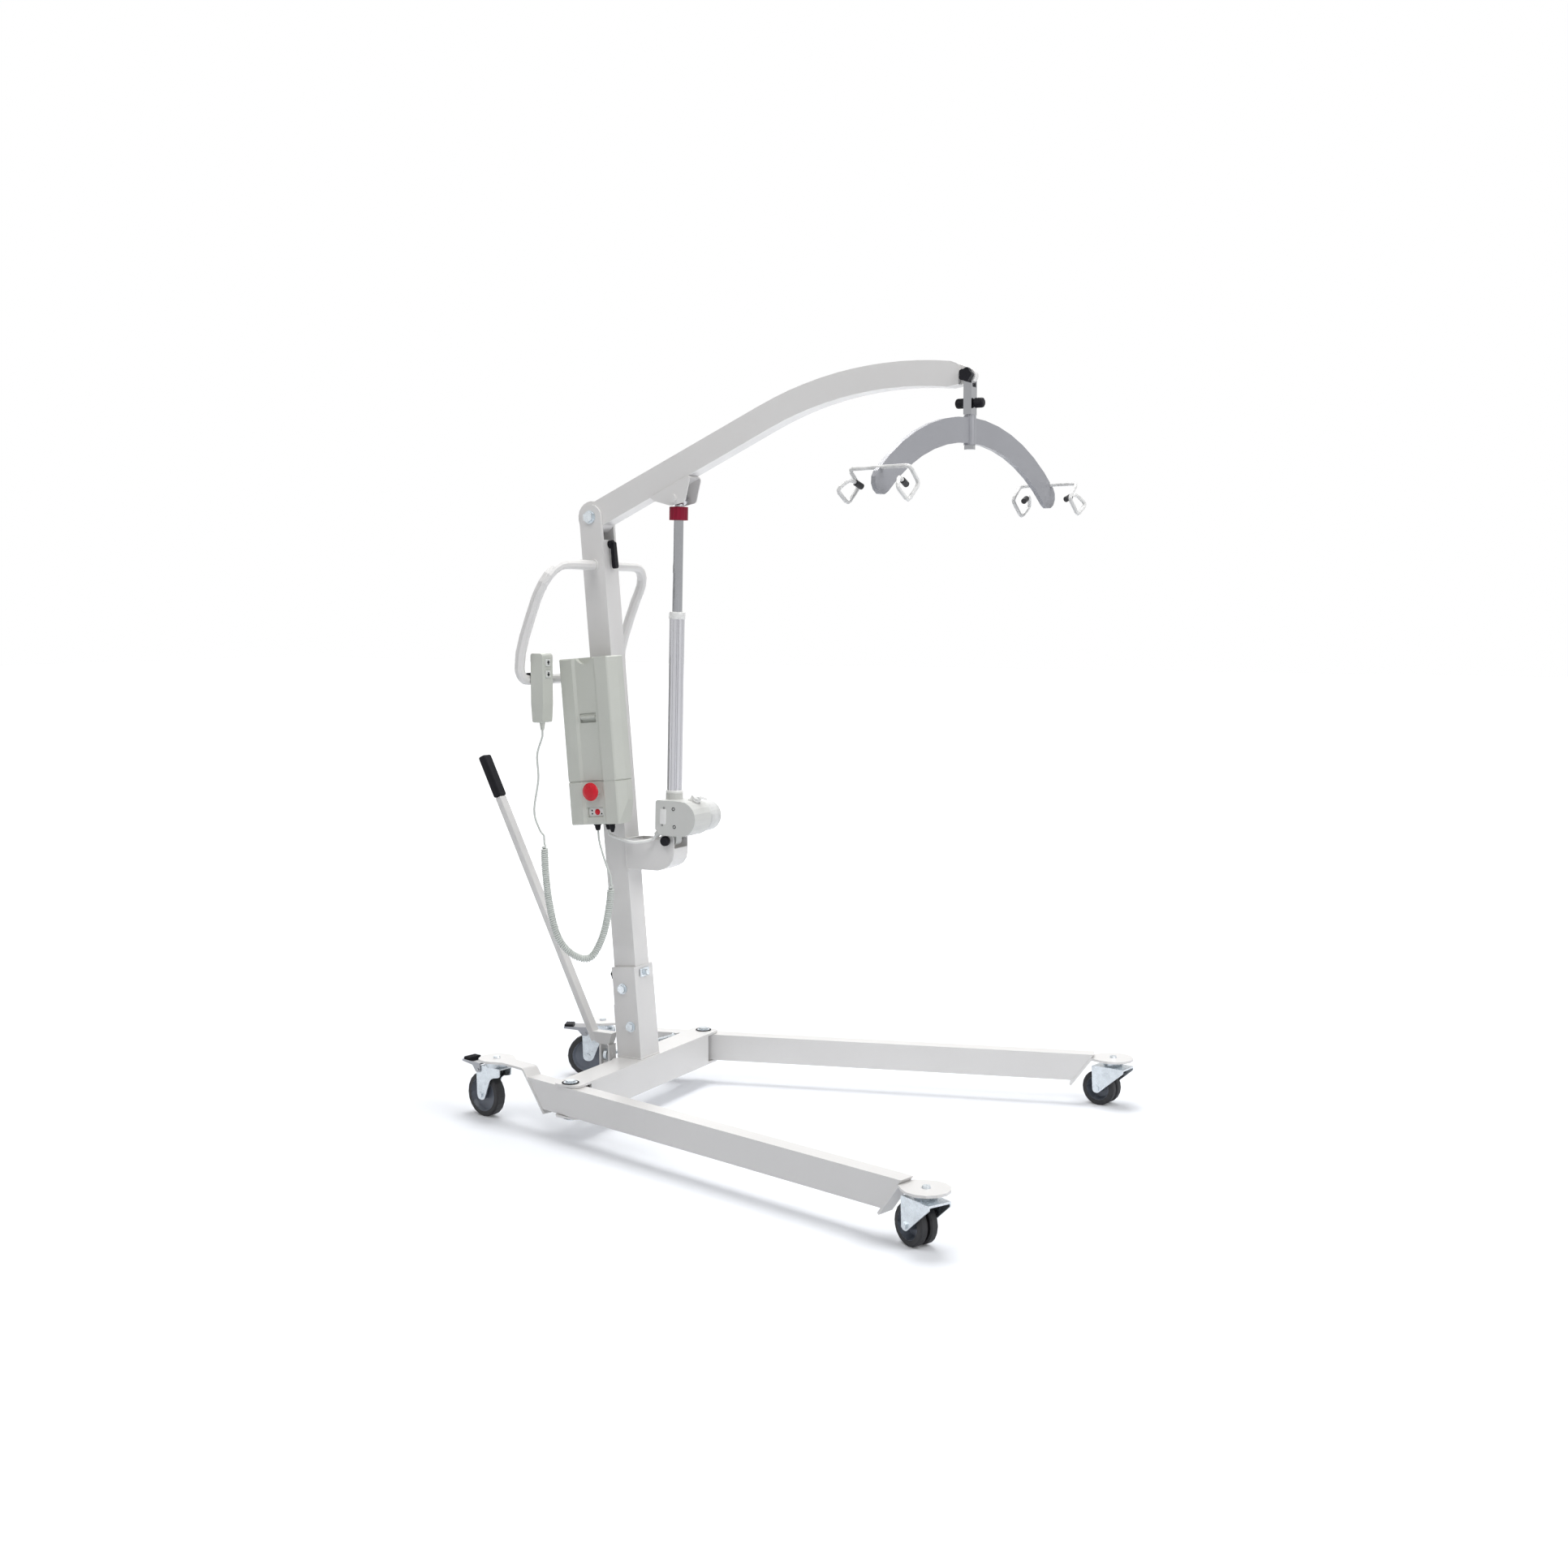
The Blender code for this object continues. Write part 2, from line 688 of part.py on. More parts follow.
def strip_plan(foot, swivel, radius):
    """Top view of a bent plate: a straight root that flares into a round end."""
    forward = math.copysign(1, swivel)
    half = STRIP_WIDTH / 2
    open_angle = math.radians(52)
    start = open_angle if forward < 0 else math.pi - open_angle
    round_end = arc((swivel, 0), radius, start, -start if forward > 0 else math.tau - start, 10)
    flare = swivel - forward * (radius + 4 * MM)
    root = foot - forward * 10 * MM
    return [(root, half), (flare, half), *round_end, (flare, -half), (root, -half)]


def make_strip(frame_of_leg, foot, slope, level, swivel, radius):
    reach = math.copysign(radius + PAST, swivel)
    profile = strip_profile(foot, slope, level, swivel + reach)
    strip = as_mesh(plate("strip", profile, 3 * radius, frame_of_leg, turn=SIDE_ON))
    plan = strip_plan(foot[0], swivel, radius)
    hole = circle((swivel, 0), STEM_RADIUS + BOLT_CLEARANCE)
    combine(strip, plate("plan", plan, 4 * level, frame_of_leg, holes=[hole]), "INTERSECT")
    return as_mesh(strip)


def make_leg(side, inward, lug_level):
    """A leg, whose inner side is at inward (1 or -1) times its local Y."""
    home = leg_frames[side]
    sink = 1 * MM
    corners = [
        (strip_line(FRONT_STRIP_FOOT, FRONT_STRIP_SLOPE, LEG_TOP) + sink, LEG_TOP),
        (strip_line(REAR_STRIP_FOOT, REAR_STRIP_SLOPE, LEG_TOP) - sink, LEG_TOP),
        (strip_line(REAR_STRIP_FOOT, REAR_STRIP_SLOPE, LEG_BOTTOM) - sink, LEG_BOTTOM),
        (strip_line(FRONT_STRIP_FOOT, FRONT_STRIP_SLOPE, LEG_BOTTOM) + sink, LEG_BOTTOM),
    ]
    leg = as_mesh(plate(f"leg_{side}", corners, LEG_WIDTH, home, turn=SIDE_ON))
    inner = LEG_WIDTH / 2 - LEG_WALL
    cut(leg, box(
        "leg_bore",
        (corners[2][0] + 30 * MM, -inner, LEG_BOTTOM + LEG_WALL),
        (corners[3][0] - 30 * MM, inner, LEG_TOP - LEG_WALL),
        home,
    ))
    cut(leg, rod(
        "pivot_hole",
        (0, 0, LEG_BOTTOM - PAST),
        (0, 0, LEG_TOP + PAST),
        PIVOT_BOLT_RADIUS + BOLT_CLEARANCE,
        home,
    ))
    front = make_strip(
        home, FRONT_STRIP_FOOT, FRONT_STRIP_SLOPE, FRONT_STRIP_LEVEL, FRONT_SWIVEL,
        FRONT_PLATE_RADIUS,
    )
    rear = make_strip(
        home, REAR_STRIP_FOOT, REAR_STRIP_SLOPE, REAR_STRIP_LEVEL, REAR_SWIVEL,
        REAR_PLATE_RADIUS,
    )
    join(leg, front, rear)
    root = inward * (LEG_WIDTH / 2 - 1 * MM)
    pin = inward * TIE_PIN_INWARD
    lug = arc((-TIE_PIN_BACK, pin), LUG_RADIUS, 0, inward * math.pi, 8)
    lug += [(-TIE_PIN_BACK - LUG_RADIUS - 3 * MM, root), (-TIE_PIN_BACK + LUG_RADIUS + 3 * MM, root)]
    lug_top = lug_level - ROD_RING_WIDTH / 2 - GAP
    join(leg, plate("lug", lug, LUG_THICKNESS, home, (0, 0, lug_top - LUG_THICKNESS / 2)))
    pin_top = lug_level + ROD_RING_WIDTH / 2 + GAP
    join(leg, rod(
        "lug_pin",
        (-TIE_PIN_BACK, pin, lug_top - LUG_THICKNESS - 2 * MM),
        (-TIE_PIN_BACK, pin, pin_top + 1 * MM),
        TIE_PIN_RADIUS, home, 16,
    ))
    join(leg, rod(
        "lug_pin_head",
        (-TIE_PIN_BACK, pin, pin_top), (-TIE_PIN_BACK, pin, pin_top + 2.5 * MM), 7 * MM, home, 16,
    ))
    return finish(leg, COAT)


# Casters

def wheel_hub(radius, half_width):
    bore = AXLE_RADIUS + AXLE_CLEARANCE
    web = 3.5 * MM
    rim = half_width - 1.5 * MM
    lip = radius - 5 * MM
    profile = [
        (bore, half_width + 1 * MM), (bore + 6 * MM, half_width + 1 * MM), (bore + 7 * MM, web),
        (lip, web), (radius, rim),
    ]
    return profile + [(reach, -height) for reach, height in reversed(profile)]


def tyre_ring(radius, low, high):
    edge = 3 * MM
    inner = radius - TYRE_DEPTH
    return [
        (inner, high), (radius - edge, high), (radius, high - edge),
        (radius, low + edge), (radius - edge, low), (inner, low),
    ]


def make_wheel(name, home, radius, width, tyres):
    """A hub with its tyres on the axle's line, which is the local Y axis."""
    wheel = as_mesh(turned(
        name, wheel_hub(radius - TYRE_DEPTH + 0.8 * MM, width / 2), home,
        turn=ALONG_Y, steps=12, ring=True,
    ))
    for low, high in tyres:
        tyre = turned("tyre", tyre_ring(radius, low, high), home, turn=ALONG_Y, ring=True)
        join(wheel, as_mesh(tyre))
    return finish(wheel, GREY_WHEEL)


def make_fork(name, home, side_view, outer, head_radius, head_bottom, plate_bottom, plate_top,
              crown, axle, pedal_hole=None):
    """A folded fork with a swivel head, a stem through the leg's plate and the wheel's axle."""
    fork = as_mesh(plate(name, side_view, 2 * outer, home, turn=SIDE_ON))
    inner = outer - CHEEK
    cut(fork, box(
        "wheel_space", (-0.1, -inner, -PAST), (0.12, inner, crown), home,
    ))
    if pedal_hole:
        cut(fork, rod(
            "pedal_hole",
            (pedal_hole[0], -outer - PAST, pedal_hole[1]),
            (pedal_hole[0], outer + PAST, pedal_hole[1]),
            PEDAL_PIN_RADIUS + BOLT_CLEARANCE, home, 12,
        ))
    cap = plate_top + GAP
    stem = [
        (0, cap + 4 * MM), (7 * MM, cap + 4 * MM), (8.5 * MM, cap),
        (STEM_RADIUS, cap), (STEM_RADIUS, plate_bottom - GAP), (head_radius, plate_bottom - GAP),
        (head_radius, plate_bottom - 4 * MM), (head_radius - 5 * MM, head_bottom - 1 * MM),
        (0, head_bottom - 1 * MM),
    ]
    join(fork, as_mesh(turned("stem", stem, home, steps=12)))
    reach = outer + 2.5 * MM
    join(fork, rod(
        "axle", (axle[0], -reach, axle[1]), (axle[0], reach, axle[1]), AXLE_RADIUS, home, 12,
    ))
    for sign in (1, -1):
        join(fork, rod(
            "axle_nut", (axle[0], sign * (outer - 1 * MM), axle[1]),
            (axle[0], sign * (outer + 3.5 * MM), axle[1]), 7 * MM, home, 6,
        ))
    return finish(fork, ZINC)


def make_rear_caster(side, heading):
    leg = leg_frames[side]
    turn = heading - leg.rotation_euler.z
    home = frame(f"rear_{side}_swivel", (REAR_SWIVEL, 0, 0), (0, 0, turn), leg)
    axle = (REAR_TRAIL, REAR_WHEEL_RADIUS)
    outer = REAR_WHEEL_WIDTH / 2 + 2.5 * MM + CHEEK
    plate_bottom = REAR_STRIP_LEVEL - STRIP_THICKNESS
    top = 117 * MM
    trail = REAR_TRAIL
    side_view = rounded([
        (-27 * MM, top, 3 * MM), (-27 * MM, 98 * MM, 6 * MM), (2 * MM, 92 * MM, 18 * MM),
        (trail - 11 * MM, axle[1] - 11 * MM, 11 * MM), (trail + 11 * MM, axle[1] - 11 * MM, 11 * MM),
        (trail + 13 * MM, 104 * MM, 6 * MM), (trail - 1 * MM, top, 3 * MM),
    ])
    pedal_axis = (trail + 5 * MM, 107 * MM)
    make_fork(
        f"rear_{side}_fork", home, side_view, outer, 28 * MM, top, plate_bottom, REAR_STRIP_LEVEL,
        114 * MM, axle, pedal_axis,
    )
    spin = frame(f"rear_{side}_axle", (axle[0], 0, axle[1]), parent=home)
    half = REAR_WHEEL_WIDTH / 2
    bpy.context.view_layer.update()
    make_wheel(f"rear_{side}_wheel", spin, REAR_WHEEL_RADIUS, REAR_WHEEL_WIDTH, [(-half, half)])
    make_pedal(side, home, outer, pedal_axis)


def make_pedal(side, home, outer, axis):
    """A pressed brake pedal with side ears on a pin through the fork, and a ribbed pad on top."""
    hinge = frame(f"brake_{side}_axis", (axis[0], 0, axis[1]), parent=home)
    ear_inside = outer + GAP + 0.2 * MM
    ear_outside = ear_inside + 2 * MM
    view = rounded([
        (-7 * MM, -6 * MM, 5 * MM), (7 * MM, -6 * MM, 5 * MM), (18 * MM, 8 * MM, 4 * MM),
        (52 * MM, 12 * MM, 1 * MM), (52 * MM, 16.5 * MM, 1 * MM), (-7 * MM, 15 * MM, 2 * MM),
    ])
    pedal = as_mesh(plate(f"brake_pedal_{side}", view, 2 * ear_outside, hinge, turn=SIDE_ON))
    cut(pedal, plate(
        "pedal_hollow",
        [(-20 * MM, -20 * MM), (60 * MM, -20 * MM), (60 * MM, 13 * MM), (-20 * MM, 12 * MM)],
        2 * ear_inside, hinge, turn=SIDE_ON,
    ))
    reach = ear_outside + 1.5 * MM
    join(pedal, rod("pedal_pin", (0, -reach, 0), (0, reach, 0), PEDAL_PIN_RADIUS, hinge, 12))
    pad = box("pad", (32 * MM, -15 * MM, 14.5 * MM), (50 * MM, 15 * MM, 20 * MM), hinge)
    join(pedal, soften(pad, 1 * MM, 1))
    return finish(pedal, ZINC)


def make_front_caster(side, heading):
    leg = leg_frames[side]
    turn = heading - leg.rotation_euler.z
    home = frame(f"front_{side}_swivel", (FRONT_SWIVEL, 0, 0), (0, 0, turn), leg)
    axle = (FRONT_TRAIL, FRONT_WHEEL_RADIUS)
    half = FRONT_TYRE_WIDTH + FRONT_TYRE_GAP / 2
    outer = half + 2.5 * MM + CHEEK
    plate_bottom = FRONT_STRIP_LEVEL - STRIP_THICKNESS
    top = 92 * MM
    trail = FRONT_TRAIL
    side_view = rounded([
        (-38 * MM, top, 2 * MM), (-38 * MM, top - 9 * MM, 3 * MM),
        (trail - 4 * MM, axle[1] - 10 * MM, 7 * MM),
        (trail + 10 * MM, axle[1] - 10 * MM, 8 * MM), (trail + 13 * MM, top, 4 * MM),
    ])
    make_fork(
        f"front_{side}_fork", home, side_view, outer, 25 * MM, top, plate_bottom,
        FRONT_STRIP_LEVEL, 88 * MM, axle,
    )
    spin = frame(f"front_{side}_axle", (axle[0], 0, axle[1]), parent=home)
    bpy.context.view_layer.update()
    near = FRONT_TYRE_GAP / 2
    make_wheel(
        f"front_{side}_wheel", spin, FRONT_WHEEL_RADIUS, 2 * half, [(-half, -near), (near, half)],
    )


# Spread lever and tie rods

def make_crank():
    """A clevis on the lever's shaft, with one pin above the shaft and one below it."""
    low = -CRANK_THROW - 11 * MM
    high = CRANK_TOP - SHAFT_HEIGHT
    half = CRANK_WIDTH / 2
    outline = rounded([
        (half, high, 2 * MM), (-half, high, 2 * MM), (-half, low, 10 * MM), (half, low, 10 * MM),
    ])
    rear_middle = CRANK_REAR + CRANK_PLATE / 2
    front_middle = CRANK_FRONT - CRANK_PLATE / 2
    crank = as_mesh(plate(
        "lever_crank", outline, CRANK_PLATE, lever_frame, (rear_middle, 0, 0), FACE_ON,
    ))
    join(crank, plate("front_cheek", outline, CRANK_PLATE, lever_frame, (front_middle, 0, 0), FACE_ON))
    inside = -BEAM_DEPTH / 2 - 2 * MM - GAP
    join(crank, rod("shaft", (CRANK_REAR + 1 * MM, 0, 0), (inside, 0, 0), SHAFT_RADIUS, lever_frame, 14))
    for sign in (1, -1):
        height = sign * CRANK_THROW
        join(crank, rod(
            "crank_pin", (CRANK_REAR - 2 * MM, 0, height), (CRANK_FRONT + 1 * MM, 0, height),
            CRANK_PIN_RADIUS, lever_frame, 8,
        ))
    return finish(crank, ZINC)


def lever_slant():
    return Vector((LEVER_TOP[0] - LEVER_FOOT[0], 0, LEVER_TOP[1] - LEVER_FOOT[1])).normalized()


def make_spread_lever():
    """The leaning tube and the gusset arm that stands on the crank's cheeks."""
    foot = Vector((LEVER_FOOT[0], 0, LEVER_FOOT[1] - SHAFT_HEIGHT))
    top = Vector((LEVER_TOP[0], 0, LEVER_TOP[1] - SHAFT_HEIGHT))
    slant = lever_slant()
    length = (top - foot).length
    lean = math.atan2(slant.x, slant.z)
    tilt = frame("lever_tilt", foot, (0, lean, 0), lever_frame)
    lever = box(
        "spread_lever",
        (-LEVER_DEPTH / 2, -LEVER_WIDTH / 2, -6 * MM),
        (LEVER_DEPTH / 2, LEVER_WIDTH / 2, length - GAP),
        tilt,
    )
    soften(lever, 2.5 * MM, 2)
    low = CRANK_TOP - SHAFT_HEIGHT + GAP
    high = ARM_TOP - SHAFT_HEIGHT
    arm = [
        (LEVER_FOOT[0] - 2 * MM, high), (LEVER_FOOT[0] + 6 * MM, low + 4 * MM),
        (CRANK_REAR - 1 * MM, low), (CRANK_FRONT - 4 * MM, low), (-70 * MM, high),
    ]
    join(lever, plate("arm", arm, LEVER_WIDTH - 1 * MM, lever_frame, turn=SIDE_ON))
    grip = box(
        "lever_grip",
        (-GRIP_DEPTH / 2, -GRIP_WIDTH / 2, length),
        (GRIP_DEPTH / 2, GRIP_WIDTH / 2, length + GRIP_LENGTH),
        tilt,
    )
    soften(grip, 5 * MM, 3)
    finish(grip, BLACK_PLASTIC)
    return finish(lever, COAT)


def leg_pin_point(sign):
    """The tie rod's pin on a leg at rest, in world coordinates."""
    along = Vector((math.cos(SPLAY), sign * math.sin(SPLAY)))
    inward = Vector((math.sin(SPLAY), -sign * math.cos(SPLAY)))
    return Vector((0, sign * LEG_PIVOT_Y)) - along * TIE_PIN_BACK + inward * TIE_PIN_INWARD


def make_tie_rod(side, sign):
    """A rod with a flat eye on the leg's pin and a wide ring round the crank's pin."""
    height = SHAFT_HEIGHT + sign * CRANK_THROW
    leg_end = leg_pin_point(sign)
    crank_x = (CRANK_FRONT + CRANK_REAR) / 2
    home = frame(
        f"tie_rod_{side}_axis", (*leg_end, height),
        (0, 0, math.atan2(-leg_end.y, crank_x - leg_end.x)),
    )
    length = math.hypot(leg_end.y, crank_x - leg_end.x)
    bpy.context.view_layer.update()
    bar = rod(f"tie_rod_{side}", (10 * MM, 0, 0), (length - 11 * MM, 0, 0), ROD_RADIUS, home, 12)
    eye_bore = TIE_PIN_RADIUS + BOLT_CLEARANCE
    eye = [
        (eye_bore, ROD_RING_WIDTH / 2), (LUG_RADIUS + 3 * MM, ROD_RING_WIDTH / 2),
        (LUG_RADIUS + 3 * MM, -ROD_RING_WIDTH / 2), (eye_bore, -ROD_RING_WIDTH / 2),
    ]
    join(bar, as_mesh(turned("eye", eye, home, steps=14, ring=True)))
    ring = [
        (ROD_RING_BORE, ROD_RING_WIDTH / 2), (ROD_RING_RADIUS, ROD_RING_WIDTH / 2),
        (ROD_RING_RADIUS, -ROD_RING_WIDTH / 2), (ROD_RING_BORE, -ROD_RING_WIDTH / 2),
    ]
    ring_place = frame(f"tie_rod_{side}_ring", (length, 0, 0), parent=home)
    ring_place.rotation_euler = (0, math.pi / 2, -home.rotation_euler.z)
    bpy.context.view_layer.update()
    join(bar, as_mesh(turned("ring", ring, ring_place, steps=16, ring=True)))
    return finish(bar, BLACK_PLASTIC)


# Mast

def make_mast():
    half = MAST_WIDTH / 2
    outline = arc((0, BOOM_PIVOT_UP), half, 0, math.pi, 12)
    outline += [(-half, MAST_START), (half, MAST_START)]
    pivot_hole = circle((0, BOOM_PIVOT_UP), PIVOT_RADIUS + BOLT_CLEARANCE)
    bar_height = (HANDLE_TOP - MAST_FOOT.z) / math.cos(LEAN)
    bar_hole = circle((0, bar_height), HANDLE_RADIUS + BOLT_CLEARANCE)
    bolt_holes = [circle(place, SOCKET_BOLT_RADIUS + BOLT_CLEARANCE, 12) for place in SOCKET_BOLTS]
    mast = as_mesh(plate(
        "mast", outline, MAST_WIDTH, mast_frame, turn=SIDE_ON,
        holes=[pivot_hole, bar_hole, *bolt_holes],
    ))
    inner = half - MAST_WALL
    slot = BOOM_PIVOT_UP - EAR_SLOT_DROP
    cut(mast, box("mast_bore", (-inner, -inner, MAST_START - PAST), (inner, inner, slot), mast_frame))
    cut(mast, box(
        "ear_slot",
        (-half - PAST, -EAR_INSIDE, slot - 2 * MM),
        (half + PAST, EAR_INSIDE, BOOM_PIVOT_UP + half + PAST),
        mast_frame,
    ))
    return finish(mast, COAT)


def make_mast_socket():
    half_depth = SOCKET_DEPTH / 2
    half_width = SOCKET_WIDTH / 2
    outline = [
        (half_depth, SOCKET_TOP), (-half_depth + 2 * MM, SOCKET_TOP),
        (-half_depth + 2 * MM, SOCKET_STEP), (-half_depth, SOCKET_STEP),
        (-half_depth, -20 * MM), (half_depth, -20 * MM),
    ]
    bolt_holes = [circle(place, SOCKET_BOLT_RADIUS + BOLT_CLEARANCE, 12) for place in SOCKET_BOLTS]
    socket = as_mesh(plate(
        "mast_socket", outline, SOCKET_WIDTH, mast_frame, turn=SIDE_ON, holes=bolt_holes,
    ))
    fit = MAST_WIDTH / 2 + GAP
    cut(socket, box(
        "socket_bore", (-fit, -fit, MAST_START - 6 * MM), (fit, fit, SOCKET_TOP + PAST), mast_frame,
    ))
    wide = half_width + PAST
    cut(socket, box("below_beam_top", (-0.1, -wide, 0), (0.1, wide, BEAM_TOP + GAP)))
    return finish(socket, COAT)


def make_socket_bolt(name, forward, up):
    made = bolt(
        name,
        (forward, -SOCKET_WIDTH / 2 - GAP, up),
        (forward, SOCKET_WIDTH / 2 + GAP, up),
        SOCKET_BOLT_RADIUS, 9.5 * MM, 7 * MM, 12 * MM, parent=mast_frame,
    )
    return finish(made, ZINC)


def make_mast_clamp():
    """The clamp plate and its screw at the front of the socket."""
    face = SOCKET_DEPTH / 2 + GAP
    up = 199 * MM
    clamp = box(
        "mast_clamp", (face, -18 * MM, up - 10 * MM), (face + 4 * MM, 18 * MM, up + 10 * MM),
        mast_frame,
    )
    soften(clamp, 1.5 * MM, 1)
    join(clamp, rod(
        "clamp_screw", (face + 3 * MM, 0, up), (face + 11 * MM, 0, up), 7 * MM, mast_frame, 6,
    ))
    return finish(clamp, ZINC)


def handle_x(height):
    """How far forward the handle's side is at a height, between its chosen points."""
    for (low, low_x), (high, high_x) in zip(HANDLE_SIDE, HANDLE_SIDE[1:]):
        if height / MM <= high:
            return (low_x + (high_x - low_x) * (height / MM - low) / (high - low)) * MM
    return HANDLE_SIDE[-1][1] * MM


def make_push_handle():
    wide = HANDLE_HALF_WIDTH
    loop = rounded([
        (wide, HANDLE_BOTTOM, HANDLE_BOTTOM_CORNER), (wide, HANDLE_TOP, HANDLE_TOP_CORNER),
        (-wide, HANDLE_TOP, HANDLE_TOP_CORNER), (-wide, HANDLE_BOTTOM, HANDLE_BOTTOM_CORNER),
    ], 5)
    sides = [height * MM for height, _ in HANDLE_SIDE]
    sides = [z for z in sides if HANDLE_BOTTOM + 30 * MM < z < HANDLE_TOP - 65 * MM]
    points = []
    for (y, z), (next_y, next_z) in zip(loop, loop[1:] + loop[:1]):
        points.append((handle_x(z), y, z))
        if abs(next_z - z) > 60 * MM:
            between = sides if next_z > z else list(reversed(sides))
            points += [(handle_x(height), y, height) for height in between]
    return finish(pipe("push_handle", points, HANDLE_RADIUS, cyclic=True), COAT)


def make_lock_lever():
    """A clamping lever on the front face of the mast, hung from its hub."""
    face = MAST_WIDTH / 2 + GAP
    hub_up = BOOM_PIVOT_UP - 62 * MM
    home = frame("lock_lever_axis", (face, 0, hub_up), parent=mast_frame)
    bpy.context.view_layer.update()
    lever = rod("lock_lever", (0, 0, 0), (10 * MM, 0, 0), 9 * MM, home, 16)
    handle = rounded([
        (-6 * MM, 4 * MM, 3 * MM), (6 * MM, 4 * MM, 3 * MM),
        (8 * MM, -54 * MM, 6 * MM), (-6 * MM, -54 * MM, 6 * MM),
    ])
    join(lever, plate("handle", handle, 9 * MM, home, (10 * MM, 0, 0), FACE_ON))
    return finish(lever, BLACK_PLASTIC)


# Brackets on the mast

def make_actuator_bracket():
    """A trough welded to the front of the mast, open at the top for the actuator's lug."""
    at_face = MAST_WIDTH / 2 + GAP
    pin_x, pin_z = LOWER_PIN.x, LOWER_PIN.z
    back_low = mast_point(at_face, 0, 436 * MM)
    back_high = mast_point(at_face, 0, 504 * MM)
    outline = rounded([
        (back_high.x, back_high.z, 0), (back_low.x, back_low.z, 0),
        (pin_x - 22 * MM, 552 * MM, 20 * MM), (pin_x + 18 * MM, 566 * MM, 36 * MM),
        (pin_x + 18 * MM, pin_z + EAR_RISE, 9 * MM), (pin_x - 14 * MM, pin_z + EAR_RISE, 9 * MM),
        (pin_x - 20 * MM, back_high.z, 4 * MM),
    ])
    hole = circle((pin_x, pin_z), LOWER_PIN_RADIUS + BOLT_CLEARANCE)
    bracket = as_mesh(plate(
        "actuator_bracket", outline, MAST_BRACKET_WIDTH, turn=SIDE_ON, holes=[hole],
    ))
    inner = MAST_BRACKET_WIDTH - 2 * BRACKET_CHEEK
    trough = rounded([
        (back_low.x + 6 * MM, 700 * MM, 0), (back_low.x + 6 * MM, 556 * MM, 0),
        (pin_x - 22 * MM, 557 * MM, 18 * MM), (pin_x + 14 * MM, 569 * MM, 34 * MM),
        (pin_x + 14 * MM, 603 * MM, 0), (pin_x + 30 * MM, 603 * MM, 0), (pin_x + 30 * MM, 700 * MM, 0),
    ])
    cut(bracket, plate("trough", trough, inner, turn=SIDE_ON))
    return finish(bracket, COAT)


def make_bracket_pin():
    half = MAST_BRACKET_WIDTH / 2
    x, _, z = LOWER_PIN
    profile = [
        (0, half + 14 * MM), (8 * MM, half + 13.5 * MM), (11 * MM, half + 10 * MM),
        (11 * MM, half + 3 * MM), (9 * MM, half + GAP), (LOWER_PIN_RADIUS, half + GAP),
        (LOWER_PIN_RADIUS, -half - GAP), (9 * MM, -half - GAP), (9 * MM, -half - 4 * MM),
        (0, -half - 4 * MM),
    ]
    pin = turned("bracket_pin", profile, None, (x, 0, z), (math.pi / 2, 0, 0), 16)
    return finish(pin, BLACK_PLASTIC)


def make_box_bracket():
    """A channel on the mast's side, open toward the control box."""
    mast_side = -MAST_WIDTH / 2 - GAP
    box_side = -BOX_BACK + GAP
    inside = BOX_BRACKET_HALF - BRACKET_CHEEK
    bracket = box(
        "box_bracket", (-BOX_BRACKET_HALF, box_side, BOX_BRACKET_LOW),
        (BOX_BRACKET_HALF, mast_side, BOX_BRACKET_HIGH), mast_frame,
    )
    cut(bracket, box(
        "channel", (-inside, box_side - PAST, BOX_BRACKET_LOW - PAST),
        (inside, mast_side - BRACKET_CHEEK, BOX_BRACKET_HIGH + PAST), mast_frame,
    ))
    return finish(bracket, COAT)


# Control box and battery

def box_outline(channel=0.0):
    """The box in plan, with Y toward the mast; the front has a shallow channel."""
    slope = 2 * MM
    points = [
        (-BOX_HALF_WIDTH, -BOX_BACK - GAP), (-BOX_HALF_WIDTH, -BOX_SHOULDER),
        (-BOX_HALF_FRONT, -BOX_FRONT),
        (-CHANNEL_HALF - slope, -BOX_FRONT), (-CHANNEL_HALF, -BOX_FRONT + channel),
        (CHANNEL_HALF, -BOX_FRONT + channel), (CHANNEL_HALF + slope, -BOX_FRONT),
        (BOX_HALF_FRONT, -BOX_FRONT),
        (BOX_HALF_WIDTH, -BOX_SHOULDER), (BOX_HALF_WIDTH, -BOX_BACK - GAP),
    ]
    return points


def box_block(name, low, high):
    return as_mesh(plate(
        name, box_outline(CHANNEL_DEPTH), high - low, mast_frame, (0, 0, (low + high) / 2),
    ))


